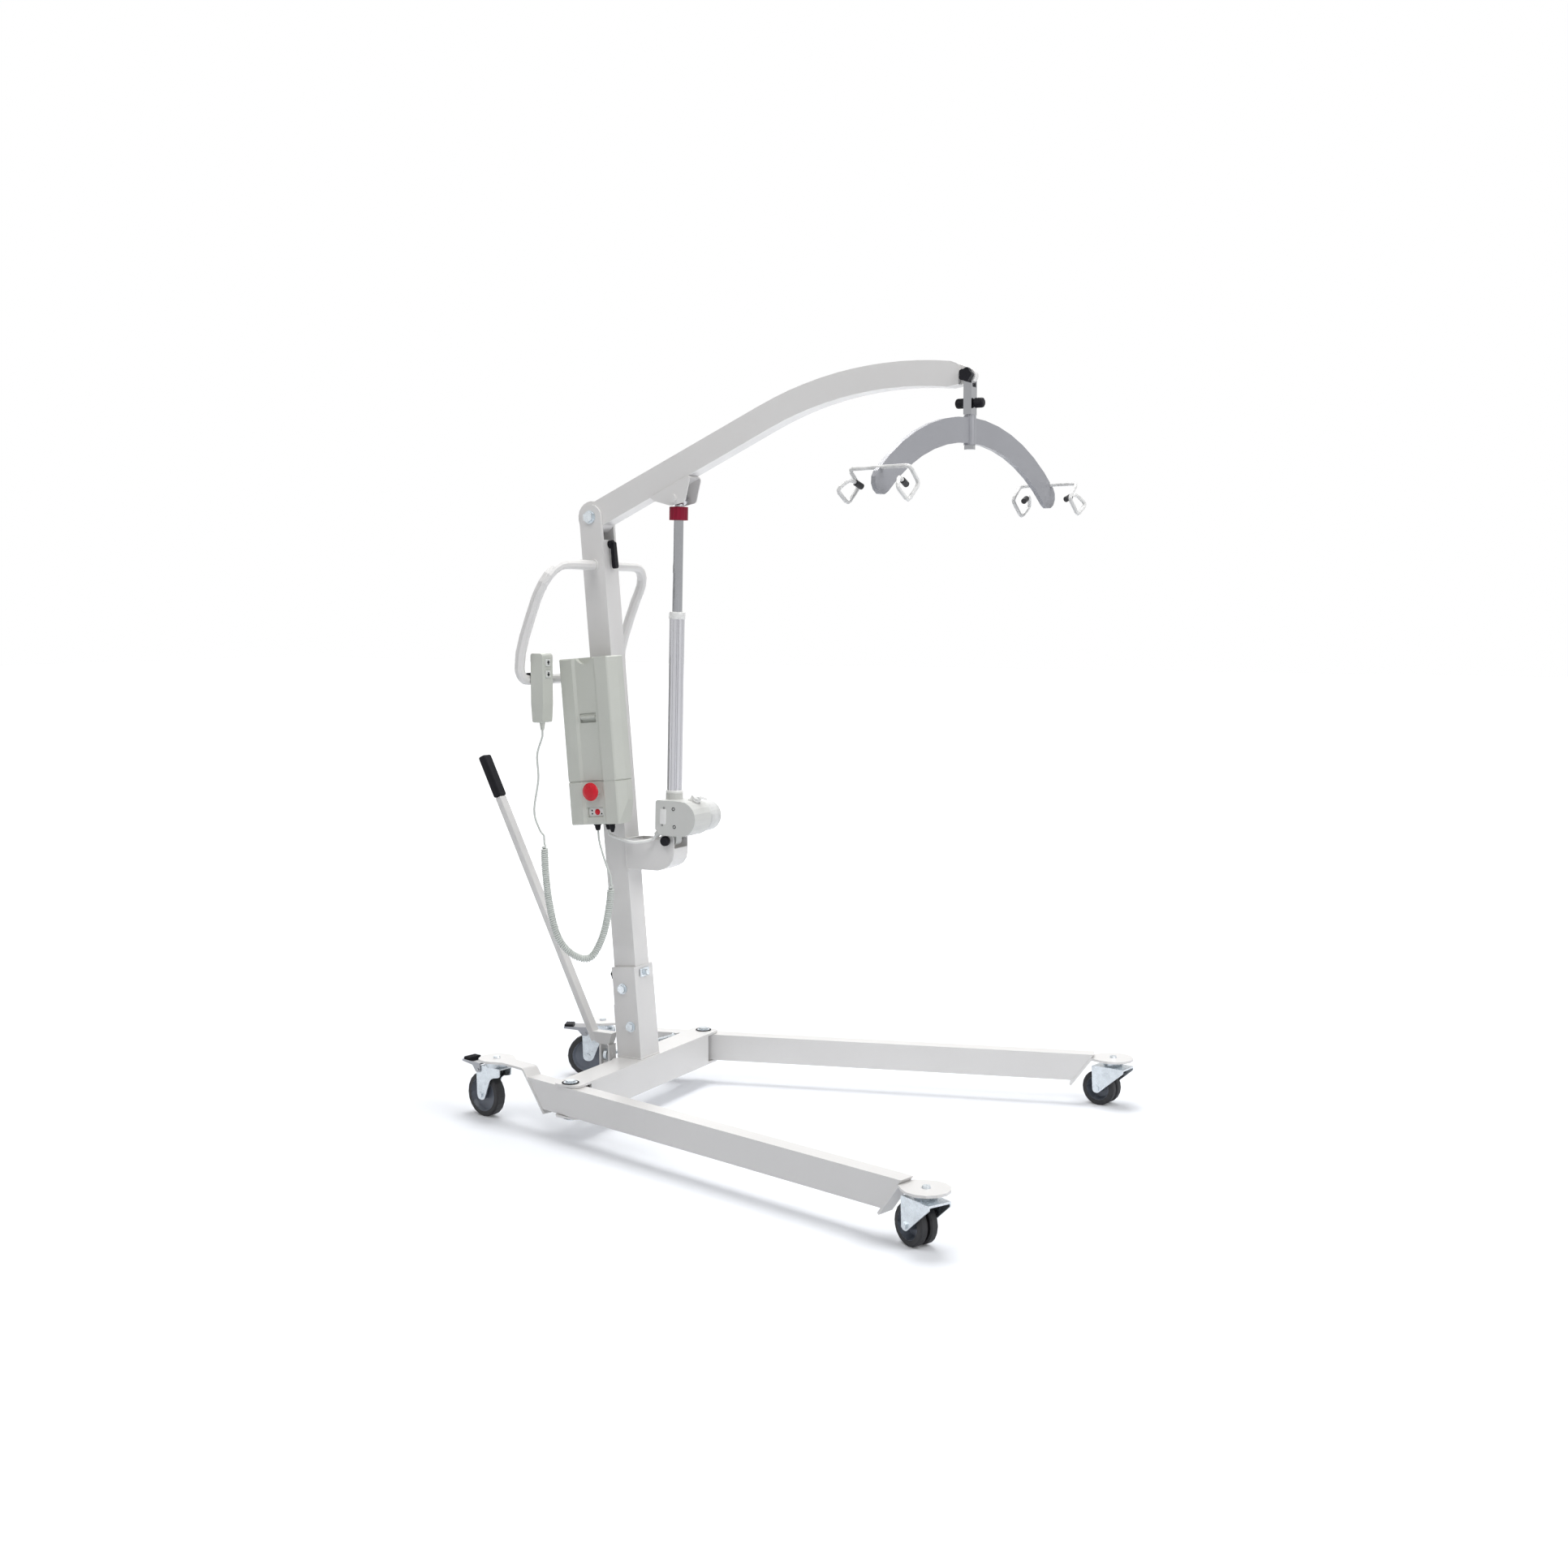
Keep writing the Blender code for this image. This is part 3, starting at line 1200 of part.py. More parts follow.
def make_control_unit():
    unit = soften(box_block("control_unit", BOX_BOTTOM, BOX_SEAM - GAP), 2.5 * MM, 1)
    reach = 60 * MM
    slant = BOX_TAPER / BOX_TAPER_HEIGHT
    knee = BOX_BOTTOM + BOX_TAPER_HEIGHT
    for sign in (1, -1):
        wedge = [
            (sign * (BOX_HALF_WIDTH + slant * reach), knee + reach),
            (sign * (BOX_HALF_WIDTH - slant * 2 * reach), knee - 2 * reach),
            (sign * (BOX_HALF_WIDTH + reach), knee - 2 * reach),
            (sign * (BOX_HALF_WIDTH + reach), knee),
        ]
        cut(unit, plate(
            "taper", wedge, 2 * BOX_FRONT, mast_frame,
            (0, -BOX_SHOULDER, 0), SIDE_ON,
        ))
    face = -BOX_FRONT + CHANNEL_DEPTH
    join(unit, rod("collar", (0, face + 3 * MM, STOP_UP), (0, face - 4 * MM, STOP_UP), 15 * MM, mast_frame))
    cut(unit, rod(
        "stop_hole", (0, face - PAST * 2, STOP_UP), (0, face + 18 * MM, STOP_UP),
        STOP_STEM + 0.5 * MM, mast_frame,
    ))
    cut(unit, box(
        "light_pocket",
        (-20 * MM, face - 6 * MM, LIGHT_UP - 11 * MM), (20 * MM, face + 5 * MM, LIGHT_UP + 11 * MM),
        mast_frame,
    ))
    return finish(unit, BOX_PLASTIC)


def make_battery_pack():
    pack = soften(box_block("battery_pack", BOX_SEAM, BOX_TOP), 2.5 * MM, 1)
    cut(pack, rod(
        "scoop", (0, -BOX_FRONT - PAST, BOX_TOP + 10 * MM), (0, -BOX_FRONT + 16 * MM, BOX_TOP + 10 * MM),
        24 * MM, mast_frame, 24,
    ))
    face = -BOX_FRONT + CHANNEL_DEPTH
    cut(pack, box(
        "latch_pocket",
        (-20.5 * MM, face - PAST, LATCH_UP - 13 * MM), (20.5 * MM, face + 5 * MM, LATCH_UP + 7 * MM),
        mast_frame,
    ))
    return finish(pack, BOX_PLASTIC)


def make_battery_latch():
    face = -BOX_FRONT + CHANNEL_DEPTH
    latch = box(
        "battery_latch",
        (-19.5 * MM, face + 0.5 * MM, LATCH_UP - 6 * MM), (19.5 * MM, face + 4.6 * MM, LATCH_UP + 6 * MM),
        mast_frame,
    )
    join(latch, box(
        "thumb_shelf", (-19 * MM, face - 7 * MM, LATCH_UP - 3 * MM), (19 * MM, face + 2 * MM, LATCH_UP + 1 * MM),
        mast_frame,
    ))
    return finish(latch, BOX_PLASTIC)


def make_stop_button():
    face = BOX_FRONT - CHANNEL_DEPTH
    base = face + 10 * MM
    profile = [
        (0, base + 10 * MM), (12 * MM, base + 9.2 * MM), (STOP_RADIUS - 1.5 * MM, base + 6 * MM),
        (STOP_RADIUS, base + 3 * MM), (STOP_RADIUS - 1.5 * MM, base), (STOP_STEM, base),
        (STOP_STEM, face - 11 * MM), (0, face - 11 * MM),
    ]
    button = turned("stop_button", profile, mast_frame, (0, 0, STOP_UP), (math.pi / 2, 0, 0), 24)
    return finish(button, RED_BUTTON)


def make_box_plug(name, place):
    profile = [
        (0, BOX_BOTTOM - GAP), (PLUG_RADIUS, BOX_BOTTOM - GAP),
        (PLUG_RADIUS, BOX_BOTTOM - 8 * MM), (4.6 * MM, BOX_BOTTOM - PLUG_LENGTH),
        (0, BOX_BOTTOM - PLUG_LENGTH),
    ]
    return finish(turned(name, profile, mast_frame, (*place, 0), steps=16), BLACK_PLASTIC)


# Handset

def make_handset():
    half_depth = HANDSET_DEPTH / 2
    half_width = HANDSET_WIDTH / 2
    at = Vector((HANDSET_X, HANDSET_Y, 0))
    waist = 3 * MM
    outline = rounded([
        (half_depth, HANDSET_TOP, 7 * MM), (-half_depth, HANDSET_TOP, 5 * MM),
        (-half_depth, HANDSET_BOTTOM + 40 * MM, 20 * MM),
        (-half_depth + waist, HANDSET_BOTTOM, 4 * MM),
        (half_depth - waist, HANDSET_BOTTOM, 4 * MM), (half_depth, HANDSET_BOTTOM + 40 * MM, 20 * MM),
    ], 3)
    case = as_mesh(plate("handset_case", outline, HANDSET_WIDTH, None, at, SIDE_ON))
    soften(case, 5 * MM, 2)
    join(case, rod(
        "strain_relief", at + Vector((0, 0, HANDSET_BOTTOM + 2 * MM)), at + Vector((0, 0, RELIEF_END)),
        7 * MM, sides=16, end_radius=4 * MM,
    ))
    for height in BUTTON_HEIGHTS:
        cut(case, box(
            "button_pocket",
            at + Vector((half_depth - 5 * MM, -half_width + 10 * MM, height - 8.5 * MM)),
            at + Vector((half_depth + PAST, half_width - 10 * MM, height + 8.5 * MM)),
        ))
    return finish(case, BOX_PLASTIC)


def make_buttons():
    face = HANDSET_X + HANDSET_DEPTH / 2
    half = HANDSET_WIDTH / 2 - 10.5 * MM
    for name, height in zip(("button_up", "button_down"), BUTTON_HEIGHTS):
        button = box(
            name,
            (face - 3 * MM, HANDSET_Y - half, height - 8 * MM),
            (face + 2 * MM, HANDSET_Y + half, height + 8 * MM),
        )
        finish(soften(button, 1.2 * MM, 2), CORD_GREY)


def make_handset_hook():
    """A hook over the handle's lower bar, on a pad at the back of the handset."""
    bar = (HANDLE_SIDE[0][1] * MM, HANDLE_BOTTOM)
    inner = HANDLE_RADIUS + 0.5 * MM
    outer = inner + HOOK_THICKNESS
    back = HANDSET_X - HANDSET_DEPTH / 2 - GAP
    start = math.acos((back - bar[0]) / outer) + 0.02
    end = math.radians(205)
    outline = arc(bar, outer, start, end, 14) + arc(bar, inner, end, start + 0.15, 14)
    width = 22 * MM
    hook = as_mesh(plate("handset_hook", outline, width, None, (0, HANDSET_Y, 0), SIDE_ON))
    pad_low = bar[1] + outer * math.sin(start) - 2 * MM
    join(hook, box(
        "pad",
        (back - 4.5 * MM, HANDSET_Y - width / 2 - 1 * MM, pad_low),
        (back, HANDSET_Y + width / 2 + 1 * MM, pad_low + 22 * MM),
    ))
    return finish(hook, BLACK_PLASTIC)


# Boom

def boom_centre(distance):
    """The boom's centre line and its upward normal, in the boom's frame."""
    if distance <= BOOM_STRAIGHT:
        return Vector((distance, 0)), Vector((0, 1))
    angle = (distance - BOOM_STRAIGHT) / BOOM_BEND_RADIUS
    normal = Vector((math.sin(angle), math.cos(angle)))
    return Vector((BOOM_STRAIGHT, -BOOM_BEND_RADIUS)) + normal * BOOM_BEND_RADIUS, normal


def make_boom():
    """Knuckle, straight run, bend and tapered nose in one outline."""
    last = BOOM_STRAIGHT + BOOM_BEND_RADIUS * BOOM_SWEEP
    stations = [BOOM_STRAIGHT + (last - BOOM_STRAIGHT) * step / 12 for step in range(13)]
    upper = []
    lower = []
    for distance in stations:
        centre, normal = boom_centre(distance)
        half = (BOOM_START_HEIGHT + (BOOM_END_HEIGHT - BOOM_START_HEIGHT) * distance / last) / 2
        upper.append(tuple(centre + normal * half))
        lower.append(tuple(centre - normal * half))
    pin = BOOM_TURN.transposed() @ (Vector((END_PIN_PLACE[0], 0, END_PIN_PLACE[1])) - BOOM_PIVOT)
    nose = (pin.x, pin.z)
    facing = math.atan2(-0.5, 1)
    edge = math.asin(BOOM_START_HEIGHT / 2 / KNUCKLE_RADIUS)
    outline = arc((0, 0), KNUCKLE_RADIUS, edge, math.tau - edge, 16)
    outline += lower
    outline += arc(nose, NOSE_RADIUS, facing - 1.5, facing + 1.35, 8)
    outline += upper[::-1]
    holes = [
        circle((0, 0), PIVOT_RADIUS + BOLT_CLEARANCE, 20),
        circle(nose, END_PIN_RADIUS + BOLT_CLEARANCE, 12),
    ]
    boom = as_mesh(plate("boom", outline, BOOM_WIDTH, boom_frame, turn=SIDE_ON, holes=holes))
    for sign in (1, -1):
        low, high = sorted((sign * NOSE_HALF_WIDTH, sign * BOOM_WIDTH))
        cut(boom, box(
            "nose_side",
            (HANGER_X - 17 * MM, low, END_PIN_PLACE[1] - 60 * MM),
            (HANGER_X + 40 * MM, high, END_PIN_PLACE[1] + 60 * MM),
        ))
    return finish(boom, COAT)


def make_boom_bracket():
    """Two cheeks under the boom, joined by a plate along it and open at both ends."""
    top = -BOOM_START_HEIGHT / 2 - GAP
    near, below = CLEVIS_PLACE
    outline = rounded([
        (near + 54 * MM, top, 0), (near - 52 * MM, top, 0), (near - 44 * MM, top - 13 * MM, 6 * MM),
        (near - 12 * MM, below - 12 * MM, 10 * MM), (near + 23 * MM, below - 20 * MM, 9 * MM),
        (near + 54 * MM, top - 8 * MM, 8 * MM),
    ])
    bracket = as_mesh(plate(
        "boom_bracket", outline, BOOM_BRACKET_WIDTH, boom_frame, turn=SIDE_ON,
    ))
    inner = BOOM_BRACKET_WIDTH / 2 - BRACKET_CHEEK
    cut(bracket, box(
        "between_cheeks",
        (near - 80 * MM, -inner, below - 60 * MM), (near + 80 * MM, inner, top - 4 * MM), boom_frame,
    ))
    half = BOOM_BRACKET_WIDTH / 2
    for sign in (1, -1):
        inside = (near, sign * (EYE_HALF_WIDTH + 1 * MM), below)
        cheek = (near, sign * (half - 1 * MM), below)
        join(bracket, rod("stub", inside, cheek, 5 * MM, boom_frame, 16))
        join(bracket, rod(
            "stub_head", cheek, (near, sign * (half + 5 * MM), below), 9 * MM, boom_frame, 16,
        ))
    return finish(bracket, COAT)


def make_end_pin():
    """The pin that carries the hanger, with a lobed knob on its right end."""
    outer = NOSE_HALF_WIDTH + GAP + YOKE_PRONG + GAP
    pin = rod(
        "end_pin", (0, -outer - 3 * MM, 0), (0, outer + 3 * MM, 0), END_PIN_RADIUS, hanger_frame, 16,
    )
    join(pin, rod("pin_head", (0, outer, 0), (0, outer + 5 * MM, 0), 8 * MM, hanger_frame, 16))
    lobes = [
        (
            (13 + 1.6 * math.cos(5 * angle)) * MM * math.cos(angle),
            (13 + 1.6 * math.cos(5 * angle)) * MM * math.sin(angle),
        )
        for angle in (math.tau * step / 20 for step in range(20))
    ]
    join(pin, plate("knob", lobes, 14 * MM, hanger_frame, (0, -outer - 7 * MM, 0), SIDE_ON))
    return finish(pin, BLACK_PLASTIC)


def make_boom_pivot_bolt():
    half = MAST_WIDTH / 2 + GAP
    made = bolt(
        "boom_pivot_bolt", (0, -half, BOOM_PIVOT_UP), (0, half, BOOM_PIVOT_UP),
        PIVOT_RADIUS, 12 * MM, 9 * MM, 15 * MM, parent=mast_frame,
    )
    return finish(made, ZINC)


# Actuator

def make_gear_housing():
    outline = rounded([
        (-21 * MM, 90 * MM, 6 * MM), (-21 * MM, 26 * MM, 3 * MM), (-8 * MM, 13 * MM, 4 * MM),
        (80 * MM, 13 * MM, 38 * MM), (80 * MM, 91 * MM, 38 * MM),
    ], 5)
    depth = HOUSING_FAR - HOUSING_NEAR
    middle = (0, (HOUSING_NEAR + HOUSING_FAR) / 2, 0)
    housing = as_mesh(plate("gear_housing", outline, depth, actuator_frame, middle, SIDE_ON))
    soften(housing, 3 * MM, 1)
    join(housing, rod("neck", (0, 0, 60 * MM), (0, 0, TUBE_START - GAP), 19 * MM, actuator_frame))
    lug = arc((0, 0), 14 * MM, math.pi, math.tau, 10) + [(14 * MM, 22 * MM), (-14 * MM, 22 * MM)]
    hole = circle((0, 0), LOWER_PIN_RADIUS + BOLT_CLEARANCE)
    join(housing, plate("lug", lug, 24 * MM, actuator_frame, turn=SIDE_ON, holes=[hole]))
    join(housing, rod("cable_gland", *GLAND, GLAND_RADIUS, actuator_frame, 14))
    mouth = (GLAND[1] - GLAND[0]).normalized()
    cut(housing, rod(
        "gland_mouth", GLAND[1] - mouth * GLAND_DEPTH, GLAND[1] + mouth * PAST,
        CABLE_RADIUS + 0.8 * MM, actuator_frame, 14,
    ))
    cut(housing, rod(
        "plug_seat", (0, 0, -GAP), (0, 0, 40 * MM), SERVICE_PLUG_RADIUS + 1 * MM, plug_frame, 20,
    ))
    return finish(housing, BOX_PLASTIC)


def make_motor_cover():
    """The motor can and its wider end cap, turned about a line along Y."""
    start = HOUSING_FAR + GAP
    profile = [
        (0, MOTOR_END), (CAP_RADIUS - 10 * MM, MOTOR_END - 1 * MM), (CAP_RADIUS - 3 * MM, MOTOR_END - 5 * MM),
        (CAP_RADIUS, MOTOR_END - 12 * MM), (CAP_RADIUS, MOTOR_STEP + 4 * MM),
        (MOTOR_RADIUS, MOTOR_STEP), (MOTOR_RADIUS, start), (0, start),
    ]
    cover = turned(
        "motor_cover", profile, actuator_frame, (MOTOR_X, 0, MOTOR_UP), ALONG_Y, 28,
    )
    return finish(cover, WHITE_PLASTIC)


def make_outer_tube():
    bore = ROD_BAR_RADIUS + 0.5 * MM
    profile = [
        (bore, RING_END), (RING_RADIUS, RING_END), (RING_RADIUS, TUBE_END), (TUBE_RADIUS, TUBE_END),
        (TUBE_RADIUS, TUBE_START), (TUBE_BORE, TUBE_START), (TUBE_BORE, TUBE_END), (bore, TUBE_END),
    ]
    return finish(turned("outer_tube", profile, actuator_frame, ring=True), ALUMINIUM)


def make_service_plug():
    """A ribbed plug on top of the motor, with a wire loop to pull it by."""
    rib_radius = SERVICE_PLUG_RADIUS
    waist = rib_radius - 1.6 * MM
    profile = [(0, 22 * MM), (rib_radius - 3 * MM, 22 * MM)]
    for rib in range(3):
        top = 19 * MM - rib * 5.5 * MM
        profile += [(rib_radius, top), (rib_radius, top - 2.5 * MM), (waist, top - 3 * MM)]
    profile += [(waist, 0), (0, 0)]
    plug = as_mesh(turned("service_plug", profile, plug_frame, steps=14))
    top = Vector((0, 0, 22 * MM))
    loop = [
        top + Vector((
            LOOP_REACH * math.sin(turn), -6 * MM * math.cos(turn), 9 * MM * math.sin(turn) - 1 * MM,
        ))
        for turn in (math.pi * step / 8 for step in range(9))
    ]
    join(plug, pipe("loop", loop, 1.5 * MM, plug_frame, 1))
    return finish(plug, WHITE_PLASTIC)


def make_piston_rod():
    made = rod("piston_rod", (0, 0, ROD_START), (0, 0, COLLAR_START - GAP), ROD_BAR_RADIUS, actuator_frame, 20)
    return finish(made, CHROME)


def make_rod_eye():
    """The rod's end fitting: a stem through the collar and an eye between the boom's cheeks."""
    stem = 9 * MM
    eye = rod(
        "rod_eye", (0, 0, COLLAR_START), (0, 0, ACTUATOR_LENGTH - 2 * MM), stem, actuator_frame, 16,
    )
    join(eye, rod(
        "eye_barrel", (0, -EYE_HALF_WIDTH, ACTUATOR_LENGTH), (0, EYE_HALF_WIDTH, ACTUATOR_LENGTH),
        EYE_RADIUS, actuator_frame, 20,
    ))
    cut(eye, rod(
        "eye_bore", (0, -0.03, ACTUATOR_LENGTH), (0, 0.03, ACTUATOR_LENGTH), 5.4 * MM,
        actuator_frame, 16,
    ))
    return finish(eye, ZINC)


def make_lowering_collar():
    """The knurled collar that is turned by hand to lower the boom."""
    bore = 9 * MM + 0.4 * MM
    ribs = 16
    rim = [
        (
            (COLLAR_RADIUS - (0.9 * MM if step % 2 else 0)) * math.cos(math.pi * step / ribs),
            (COLLAR_RADIUS - (0.9 * MM if step % 2 else 0)) * math.sin(math.pi * step / ribs),
        )
        for step in range(2 * ribs)
    ]
    start = COLLAR_START + GAP
    made = plate(
        "lowering_collar", rim, COLLAR_LENGTH, actuator_frame, (0, 0, start + COLLAR_LENGTH / 2),
        holes=[circle((0, 0), bore, 20)],
    )
    return finish(made, RED_COLLAR)


# Hanger and spreader

def make_hanger_yoke():
    """A clevis round the boom's nose, with a swivel post below it."""
    half = YOKE_WIDTH / 2
    drop = END_PIN_PLACE[1]
    outline = arc((0, 0), half + 1 * MM, 0, math.pi, 8)
    outline += [(-half, -12 * MM), (-half, YOKE_BOTTOM - drop), (half, YOKE_BOTTOM - drop), (half, -12 * MM)]
    outer = NOSE_HALF_WIDTH + GAP + YOKE_PRONG
    hole = circle((0, 0), END_PIN_RADIUS + BOLT_CLEARANCE, 12)
    yoke = as_mesh(plate("hanger_yoke", outline, 2 * outer, hanger_frame, turn=SIDE_ON, holes=[hole]))
    inner = NOSE_HALF_WIDTH + GAP
    cut(yoke, box(
        "crotch", (-30 * MM, -inner, -CROTCH_DROP), (30 * MM, inner, 20 * MM), hanger_frame,
    ))
    up = -GRIP_DROP
    cut(yoke, rod(
        "grip_bar_hole", (-30 * MM, 0, up), (30 * MM, 0, up), GRIP_BAR_RADIUS + BOLT_CLEARANCE,
        hanger_frame, 16,
    ))
    foot = SLEEVE_BOTTOM - drop
    join(yoke, rod(
        "post", (0, 0, YOKE_BOTTOM - drop + 3 * MM), (0, 0, foot - 4 * MM), POST_RADIUS, hanger_frame, 16,
    ))
    join(yoke, rod(
        "post_nut", (0, 0, foot - GAP), (0, 0, foot - 9 * MM), 11 * MM, hanger_frame, 6,
    ))
    return finish(yoke, CHROME)


def make_hanger_grips():
    """Two knobs on one bar that goes through the yoke, turned about a line along X."""
    up = -GRIP_DROP
    start = YOKE_WIDTH / 2 + GAP
    end = HANGER_GRIP_REACH
    radius = HANGER_GRIP_RADIUS
    half = [
        (0, end), (radius - 4 * MM, end), (radius - 1 * MM, end - 2 * MM), (radius, end - 5 * MM),
        (radius, start + 3 * MM), (radius - 2 * MM, start), (GRIP_BAR_RADIUS, start),
    ]
    profile = half + [(reach, -height) for reach, height in reversed(half)]
    grips = turned(
        "hanger_grips", profile, hanger_frame, (0, 0, up), (0, math.pi / 2, 0), 16,
    )
    return finish(grips, BLACK_PLASTIC)


def arch_point(radius, angle):
    """A point of the arch in its own plane: along the bar, and height."""
    centre = ARCH_TOP - ARCH_RADIUS
    return radius * math.sin(angle), centre + radius * math.cos(angle)


def make_spreader_bar():
    middle = ARCH_RADIUS - ARCH_WIDTH / 2
    steps = 14
    sweep = [ARCH_END * (2 * step / steps - 1) for step in range(steps + 1)]
    outline = [arch_point(ARCH_RADIUS, angle) for angle in sweep]
    outline += arc(arch_point(middle, ARCH_END), ARCH_WIDTH / 2,
                   math.pi / 2 - ARCH_END, -math.pi / 2 - ARCH_END, 6)[1:-1]
    outline += [arch_point(ARCH_RADIUS - ARCH_WIDTH, angle) for angle in reversed(sweep)]
    outline += arc(arch_point(middle, -ARCH_END), ARCH_WIDTH / 2,
                   math.pi * 1.5 + ARCH_END, math.pi / 2 + ARCH_END, 6)[1:-1]
    bar = as_mesh(plate("spreader_bar", outline, ARCH_THICKNESS, spreader_frame, turn=FACE_ON))
    join(bar, rod("sleeve", (0, 0, SLEEVE_BOTTOM), (0, 0, SLEEVE_TOP), SLEEVE_RADIUS, spreader_frame, 20))
    cut(bar, rod(
        "sleeve_bore", (0, 0, SLEEVE_BOTTOM - PAST), (0, 0, SLEEVE_TOP + PAST),
        POST_RADIUS + BOLT_CLEARANCE, spreader_frame, 16,
    ))
    reach = ARCH_THICKNESS + PAST
    for sign in (1, -1):
        along, height = arch_point(HOOK_SEAT_RADIUS, sign * HOOK_SEAT_ANGLE)
        cut(bar, rod(
            "hook_seat", (-reach, along, height), (reach, along, height),
            HOOK_WIRE_RADIUS + BOLT_CLEARANCE, spreader_frame, 12,
        ))
    return finish(bar, ARCH_GREY)


def hook_points(sign, side):
    """One hook from its corner to its tip, at one end of the bar and one side of its plane."""
    along, height = arch_point(HOOK_SEAT_RADIUS, HOOK_SEAT_ANGLE)
    return [
        Vector((side * (HOOK_REACH - toward * MM), sign * (along + out * MM), height + rise * MM))
        for out, rise, toward in HOOK_SHAPE
    ]


def make_hooks(name, sign):
    """One wire with a hook at each end, and a rubber stop on each tip."""
    path = hook_points(sign, -1)[::-1] + hook_points(sign, 1)
    hooks = as_mesh(pipe(name, rounded_path(path, 9 * MM, 2), HOOK_WIRE_RADIUS, spreader_frame, 2))
    for side in (1, -1):
        before, tip = hook_points(sign, side)[-2:]
        along = (tip - before).normalized()
        join(hooks, rod(
            "stop", tip - along * 5 * MM, tip + along * (STOP_LENGTH - 5 * MM), HOOK_STOP_RADIUS,
            spreader_frame, 12,
        ))
    return finish(hooks, COAT)


# Cords

def plug_end(place):
    return mast_point(*place, BOX_BOTTOM - PLUG_LENGTH - 2 * GAP)


def make_leads():
    lead = smooth_route(in_mm(LEAD_ROUTE) + [Vector(CURL_ROUTE[0]) * MM], 12 * MM)
    lead[-1] = lead[-1] + (lead[-2] - lead[-1]).normalized() * GAP
    finish(pipe("handset_lead", lead, LEAD_RADIUS, resolution=2), CORD_GREY)
    end = plug_end(HANDSET_PLUG)
    down = mast_point(*HANDSET_PLUG, BOX_BOTTOM - PLUG_LENGTH - 12 * MM)
    start = Vector(CURL_ROUTE[-1]) * MM
    route = smooth_route([start, *in_mm(BOX_LEAD_ROUTE), down, end], 12 * MM)
    route[0] = route[0] + (route[1] - route[0]).normalized() * GAP
    finish(pipe("box_lead", route, LEAD_RADIUS, resolution=2), CORD_GREY)
    cable_start = plug_end(ACTUATOR_PLUG)
    outward = (GLAND[1] - GLAND[0]).normalized()
    gland = actuator_frame.matrix_world @ (GLAND[1] - outward * (GLAND_DEPTH - CABLE_PLAY))
    below = actuator_frame.matrix_world @ (GLAND[1] + outward * 10 * MM)
    under = mast_point(*ACTUATOR_PLUG, BOX_BOTTOM - PLUG_LENGTH - 10 * MM)
    cable = smooth_route([cable_start, under, *in_mm(CABLE_ROUTE), below, gland], 8 * MM)
    finish(pipe("actuator_cable", cable, CABLE_RADIUS, resolution=2), WHITE_PLASTIC)


def least_gap(points, radius):
    """The least distance between two stretches of a tube that aren't neighbours, less its width."""
    least = math.inf
    for index, point in enumerate(points):
        along = 0
        for before, other in zip(points[index:], points[index + 1:index + 4 * CURL_POINTS]):
            along += (other - before).length
            if along > 8 * radius:
                least = min(least, (point - other).length - 2 * radius)
    return least


def make_curly_cord():
    """One unbroken wire that winds round a smooth path, straight at both ends."""
    samples = CURLS * CURL_POINTS
    path = smooth_route(in_mm(CURL_ROUTE), 1 * MM)
    length = sum((after - before).length for before, after in zip(path, path[1:]))
    path = smooth_route(in_mm(CURL_ROUTE), length / samples)
    side = Vector((0, 1, 0))
    points = []
    for index, place in enumerate(path):
        ahead = path[min(index + 1, len(path) - 1)] - path[max(index - 1, 0)]
        tangent = ahead.normalized()
        side = (side - tangent * side.dot(tangent)).normalized()
        across = tangent.cross(side)
        from_end = min(index, len(path) - 1 - index) / CURL_POINTS - 0.75
        grow = min(max(from_end, 0), 1)
        radius = CURL_RADIUS * grow * grow * (3 - 2 * grow)
        angle = math.tau * index / CURL_POINTS
        points.append(place + (side * math.cos(angle) + across * math.sin(angle)) * radius)
    print(f"curly cord: {CURLS} curls, least gap to itself "
          f"{least_gap(points, LEAD_RADIUS) / MM:.2f} mm")
    return finish(pipe("curly_cord", points, LEAD_RADIUS, resolution=1), CORD_GREY)


make_cross_beam()
make_pivot_bolt("left", 1)
make_pivot_bolt("right", -1)
make_leg("left", -1, SHAFT_HEIGHT + CRANK_THROW)
make_leg("right", 1, SHAFT_HEIGHT - CRANK_THROW)
make_rear_caster("right", REAR_RIGHT_HEADING)
make_rear_caster("left", REAR_LEFT_HEADING)
make_front_caster("right", FRONT_RIGHT_HEADING)
make_front_caster("left", FRONT_LEFT_HEADING)
make_crank()
make_spread_lever()
make_tie_rod("left", 1)
make_tie_rod("right", -1)
make_mast_socket()
make_socket_bolt("socket_bolt_upper", *SOCKET_BOLTS[0])
make_socket_bolt("socket_bolt_lower", *SOCKET_BOLTS[1])
make_mast_clamp()
make_mast()
make_push_handle()
make_lock_lever()
make_actuator_bracket()
make_bracket_pin()
make_box_bracket()
make_control_unit()
make_battery_pack()
make_battery_latch()
make_stop_button()
make_box_plug("handset_plug", HANDSET_PLUG)
make_box_plug("actuator_plug", ACTUATOR_PLUG)
make_handset()
make_buttons()
make_handset_hook()
make_boom()
make_boom_bracket()
make_end_pin()
make_boom_pivot_bolt()
make_gear_housing()
make_motor_cover()
make_outer_tube()
make_service_plug()
make_piston_rod()
make_rod_eye()
make_lowering_collar()
make_hanger_yoke()
make_hanger_grips()
make_spreader_bar()
make_hooks("hooks_left", 1)
make_hooks("hooks_right", -1)
make_leads()
make_curly_cord()

for made in list(bpy.data.objects):
    if made.parent is None:
        made.location.x -= MIDDLE_X
